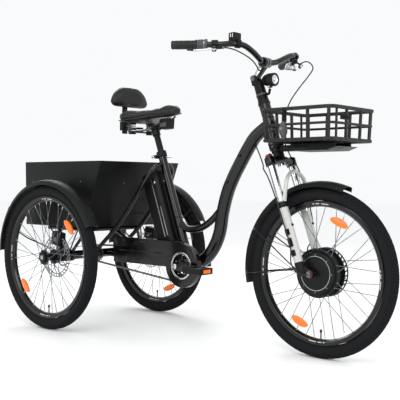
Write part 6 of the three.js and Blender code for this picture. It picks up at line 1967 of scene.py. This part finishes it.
class TricycleStage(bpy.types.PropertyGroup):
    floor_size: bpy.props.FloatProperty(name="Floor size", description="Side of the square floor",
                                        default=40.0, min=4.0, unit="LENGTH")
    floor_colour: colour_property("Floor", "Colour of the floor", "#fbfbfb")
    sky_strength: bpy.props.FloatProperty(name="Sky", description="Strength of the even light all round",
                                          default=1.05, min=0.0)
    light_power: bpy.props.FloatProperty(name="Light", description="Power of the main lamp",
                                         default=60.0, min=0.0, unit="POWER")
    lens: bpy.props.FloatProperty(name="Lens", description="Focal length of the camera in millimetres",
                                  default=LENS_MM, min=10.0, max=300.0)


# ---------------------------------------------------------------- operators
class Builds:
    """Shared by the operators that only build pieces, one after another."""
    pieces = ()

    def execute(self, context):
        for build in self.pieces:
            build()
        return {"FINISHED"}


class TRICYCLE_OT_stage(bpy.types.Operator):
    """Builds the floor, the lights and the camera."""
    bl_idname = "tricycle.stage"
    bl_label = "Stage"

    def execute(self, context):
        build_stage(context.scene.tricycle_stage)
        return {"FINISHED"}


class TRICYCLE_OT_cables(Builds, bpy.types.Operator):
    """Builds the brake cables and the motor cable."""
    bl_idname = "tricycle.cables"
    bl_label = "Cables"
    pieces = (build_cables,)


class TRICYCLE_OT_wheels(bpy.types.Operator):
    """Builds the tyres, rims, spokes and hubs of the three wheels."""
    bl_idname = "tricycle.wheels"
    bl_label = "Wheels"

    def execute(self, context):
        settings = context.scene.tricycle_wheels
        for name, wheel in WHEELS.items():
            build_tyre(wheel, name, settings.tread_rows)
            build_rim(wheel, name, settings.spokes)
        build_rear_hub(-1, "rear_wheel_right", "rear_hub_right")
        build_rear_hub(1, "rear_wheel_left", "rear_hub_left")
        build_motor()
        return {"FINISHED"}


class TRICYCLE_OT_frame(Builds, bpy.types.Operator):
    """Builds the front and rear frames and the seat clamp."""
    bl_idname = "tricycle.frame"
    bl_label = "Frame"
    pieces = (build_front_frame, build_rear_frame, build_seat_clamp)


class TRICYCLE_OT_battery(Builds, bpy.types.Operator):
    """Builds the battery."""
    bl_idname = "tricycle.battery"
    bl_label = "Battery"
    pieces = (build_battery,)


class TRICYCLE_OT_drive(Builds, bpy.types.Operator):
    """Builds the chain, the crankset and the axle sprocket."""
    bl_idname = "tricycle.drive"
    bl_label = "Drive"
    pieces = (build_chain, build_crankset)


class TRICYCLE_OT_pedals(Builds, bpy.types.Operator):
    """Builds the two pedals."""
    bl_idname = "tricycle.pedals"
    bl_label = "Pedals"
    pieces = (build_pedals,)


class TRICYCLE_OT_chain_case(Builds, bpy.types.Operator):
    """Builds the case round the chain."""
    bl_idname = "tricycle.chain_case"
    bl_label = "Chain case"
    pieces = (build_chain_case,)


class TRICYCLE_OT_brakes(Builds, bpy.types.Operator):
    """Builds the three brake calipers."""
    bl_idname = "tricycle.brakes"
    bl_label = "Brakes"
    pieces = (build_rear_brakes, build_front_brake)


class TRICYCLE_OT_fenders(Builds, bpy.types.Operator):
    """Builds the three fenders and the tail lights."""
    bl_idname = "tricycle.fenders"
    bl_label = "Fenders"
    pieces = (build_rear_fenders, build_front_fender, build_tail_lights)


class TRICYCLE_OT_cargo(Builds, bpy.types.Operator):
    """Builds the cargo box and the rack that carries it."""
    bl_idname = "tricycle.cargo"
    bl_label = "Cargo box"
    pieces = (build_cargo_rack, build_cargo_box)


class TRICYCLE_OT_basket(Builds, bpy.types.Operator):
    """Builds the front basket and its carrier."""
    bl_idname = "tricycle.basket"
    bl_label = "Basket"
    pieces = (build_basket, build_basket_carrier)


class TRICYCLE_OT_fork(Builds, bpy.types.Operator):
    """Builds the fork with its crown, knob, lower legs and axle."""
    bl_idname = "tricycle.fork"
    bl_label = "Fork"
    pieces = (build_fork_crown, build_fork_lowers)


class TRICYCLE_OT_saddle(Builds, bpy.types.Operator):
    """Builds the padded saddle and what carries it."""
    bl_idname = "tricycle.saddle"
    bl_label = "Saddle"
    pieces = (build_saddle, build_saddle_frame)


class TRICYCLE_OT_back_rest(Builds, bpy.types.Operator):
    """Builds the padded back rest and its post."""
    bl_idname = "tricycle.back_rest"
    bl_label = "Back rest"
    pieces = (build_back_rest,)


class TRICYCLE_OT_stem(Builds, bpy.types.Operator):
    """Builds the stem and the headlight."""
    bl_idname = "tricycle.stem"
    bl_label = "Stem"
    pieces = (build_stem, build_headlight)


class TRICYCLE_OT_bars(Builds, bpy.types.Operator):
    """Builds the handlebar, the grips and the shifter."""
    bl_idname = "tricycle.bars"
    bl_label = "Handlebar"
    pieces = (build_handlebar, build_grips)


class TRICYCLE_OT_controls(Builds, bpy.types.Operator):
    """Builds the brake levers, the display, its button and the bell."""
    bl_idname = "tricycle.controls"
    bl_label = "Controls"
    pieces = (build_brake_levers, build_display, build_assist_button, build_bell, build_bell_lever)


OPERATORS = (
    TRICYCLE_OT_stage, TRICYCLE_OT_cables, TRICYCLE_OT_wheels, TRICYCLE_OT_frame, TRICYCLE_OT_battery,
    TRICYCLE_OT_drive, TRICYCLE_OT_pedals, TRICYCLE_OT_chain_case, TRICYCLE_OT_brakes,
    TRICYCLE_OT_fenders, TRICYCLE_OT_cargo, TRICYCLE_OT_basket, TRICYCLE_OT_fork, TRICYCLE_OT_saddle,
    TRICYCLE_OT_back_rest, TRICYCLE_OT_stem, TRICYCLE_OT_bars, TRICYCLE_OT_controls,
)


class TRICYCLE_PT_panel(bpy.types.Panel):
    """The tricycle's settings and the operators that build its pieces."""
    bl_idname = "TRICYCLE_PT_panel"
    bl_label = "Adult tricycle"
    bl_space_type = "VIEW_3D"
    bl_region_type = "UI"
    bl_category = "Tricycle"

    def draw(self, context):
        for group in SETTINGS:
            held = getattr(context.scene, group)
            for item in held.bl_rna.properties:
                if item.identifier not in ("rna_type", "name"):
                    self.layout.prop(held, item.identifier)
        for operator in OPERATORS:
            self.layout.operator(operator.bl_idname)


SETTINGS = {
    "tricycle_finishes": TricycleFinishes,
    "tricycle_wheels": TricycleWheels,
    "tricycle_stage": TricycleStage,
}


def register():
    for name, group in SETTINGS.items():
        bpy.utils.register_class(group)
        setattr(bpy.types.Scene, name, bpy.props.PointerProperty(type=group))
    for item in (*OPERATORS, TRICYCLE_PT_panel):
        bpy.utils.register_class(item)


def unregister():
    for item in reversed((*OPERATORS, TRICYCLE_PT_panel)):
        bpy.utils.unregister_class(item)
    for name, group in reversed(SETTINGS.items()):
        delattr(bpy.types.Scene, name)
        bpy.utils.unregister_class(group)


def main():
    register()
    for operator in OPERATORS:
        group, key = operator.bl_idname.split(".")
        getattr(getattr(bpy.ops, group), key)()


if __name__ == "__main__":
    main()
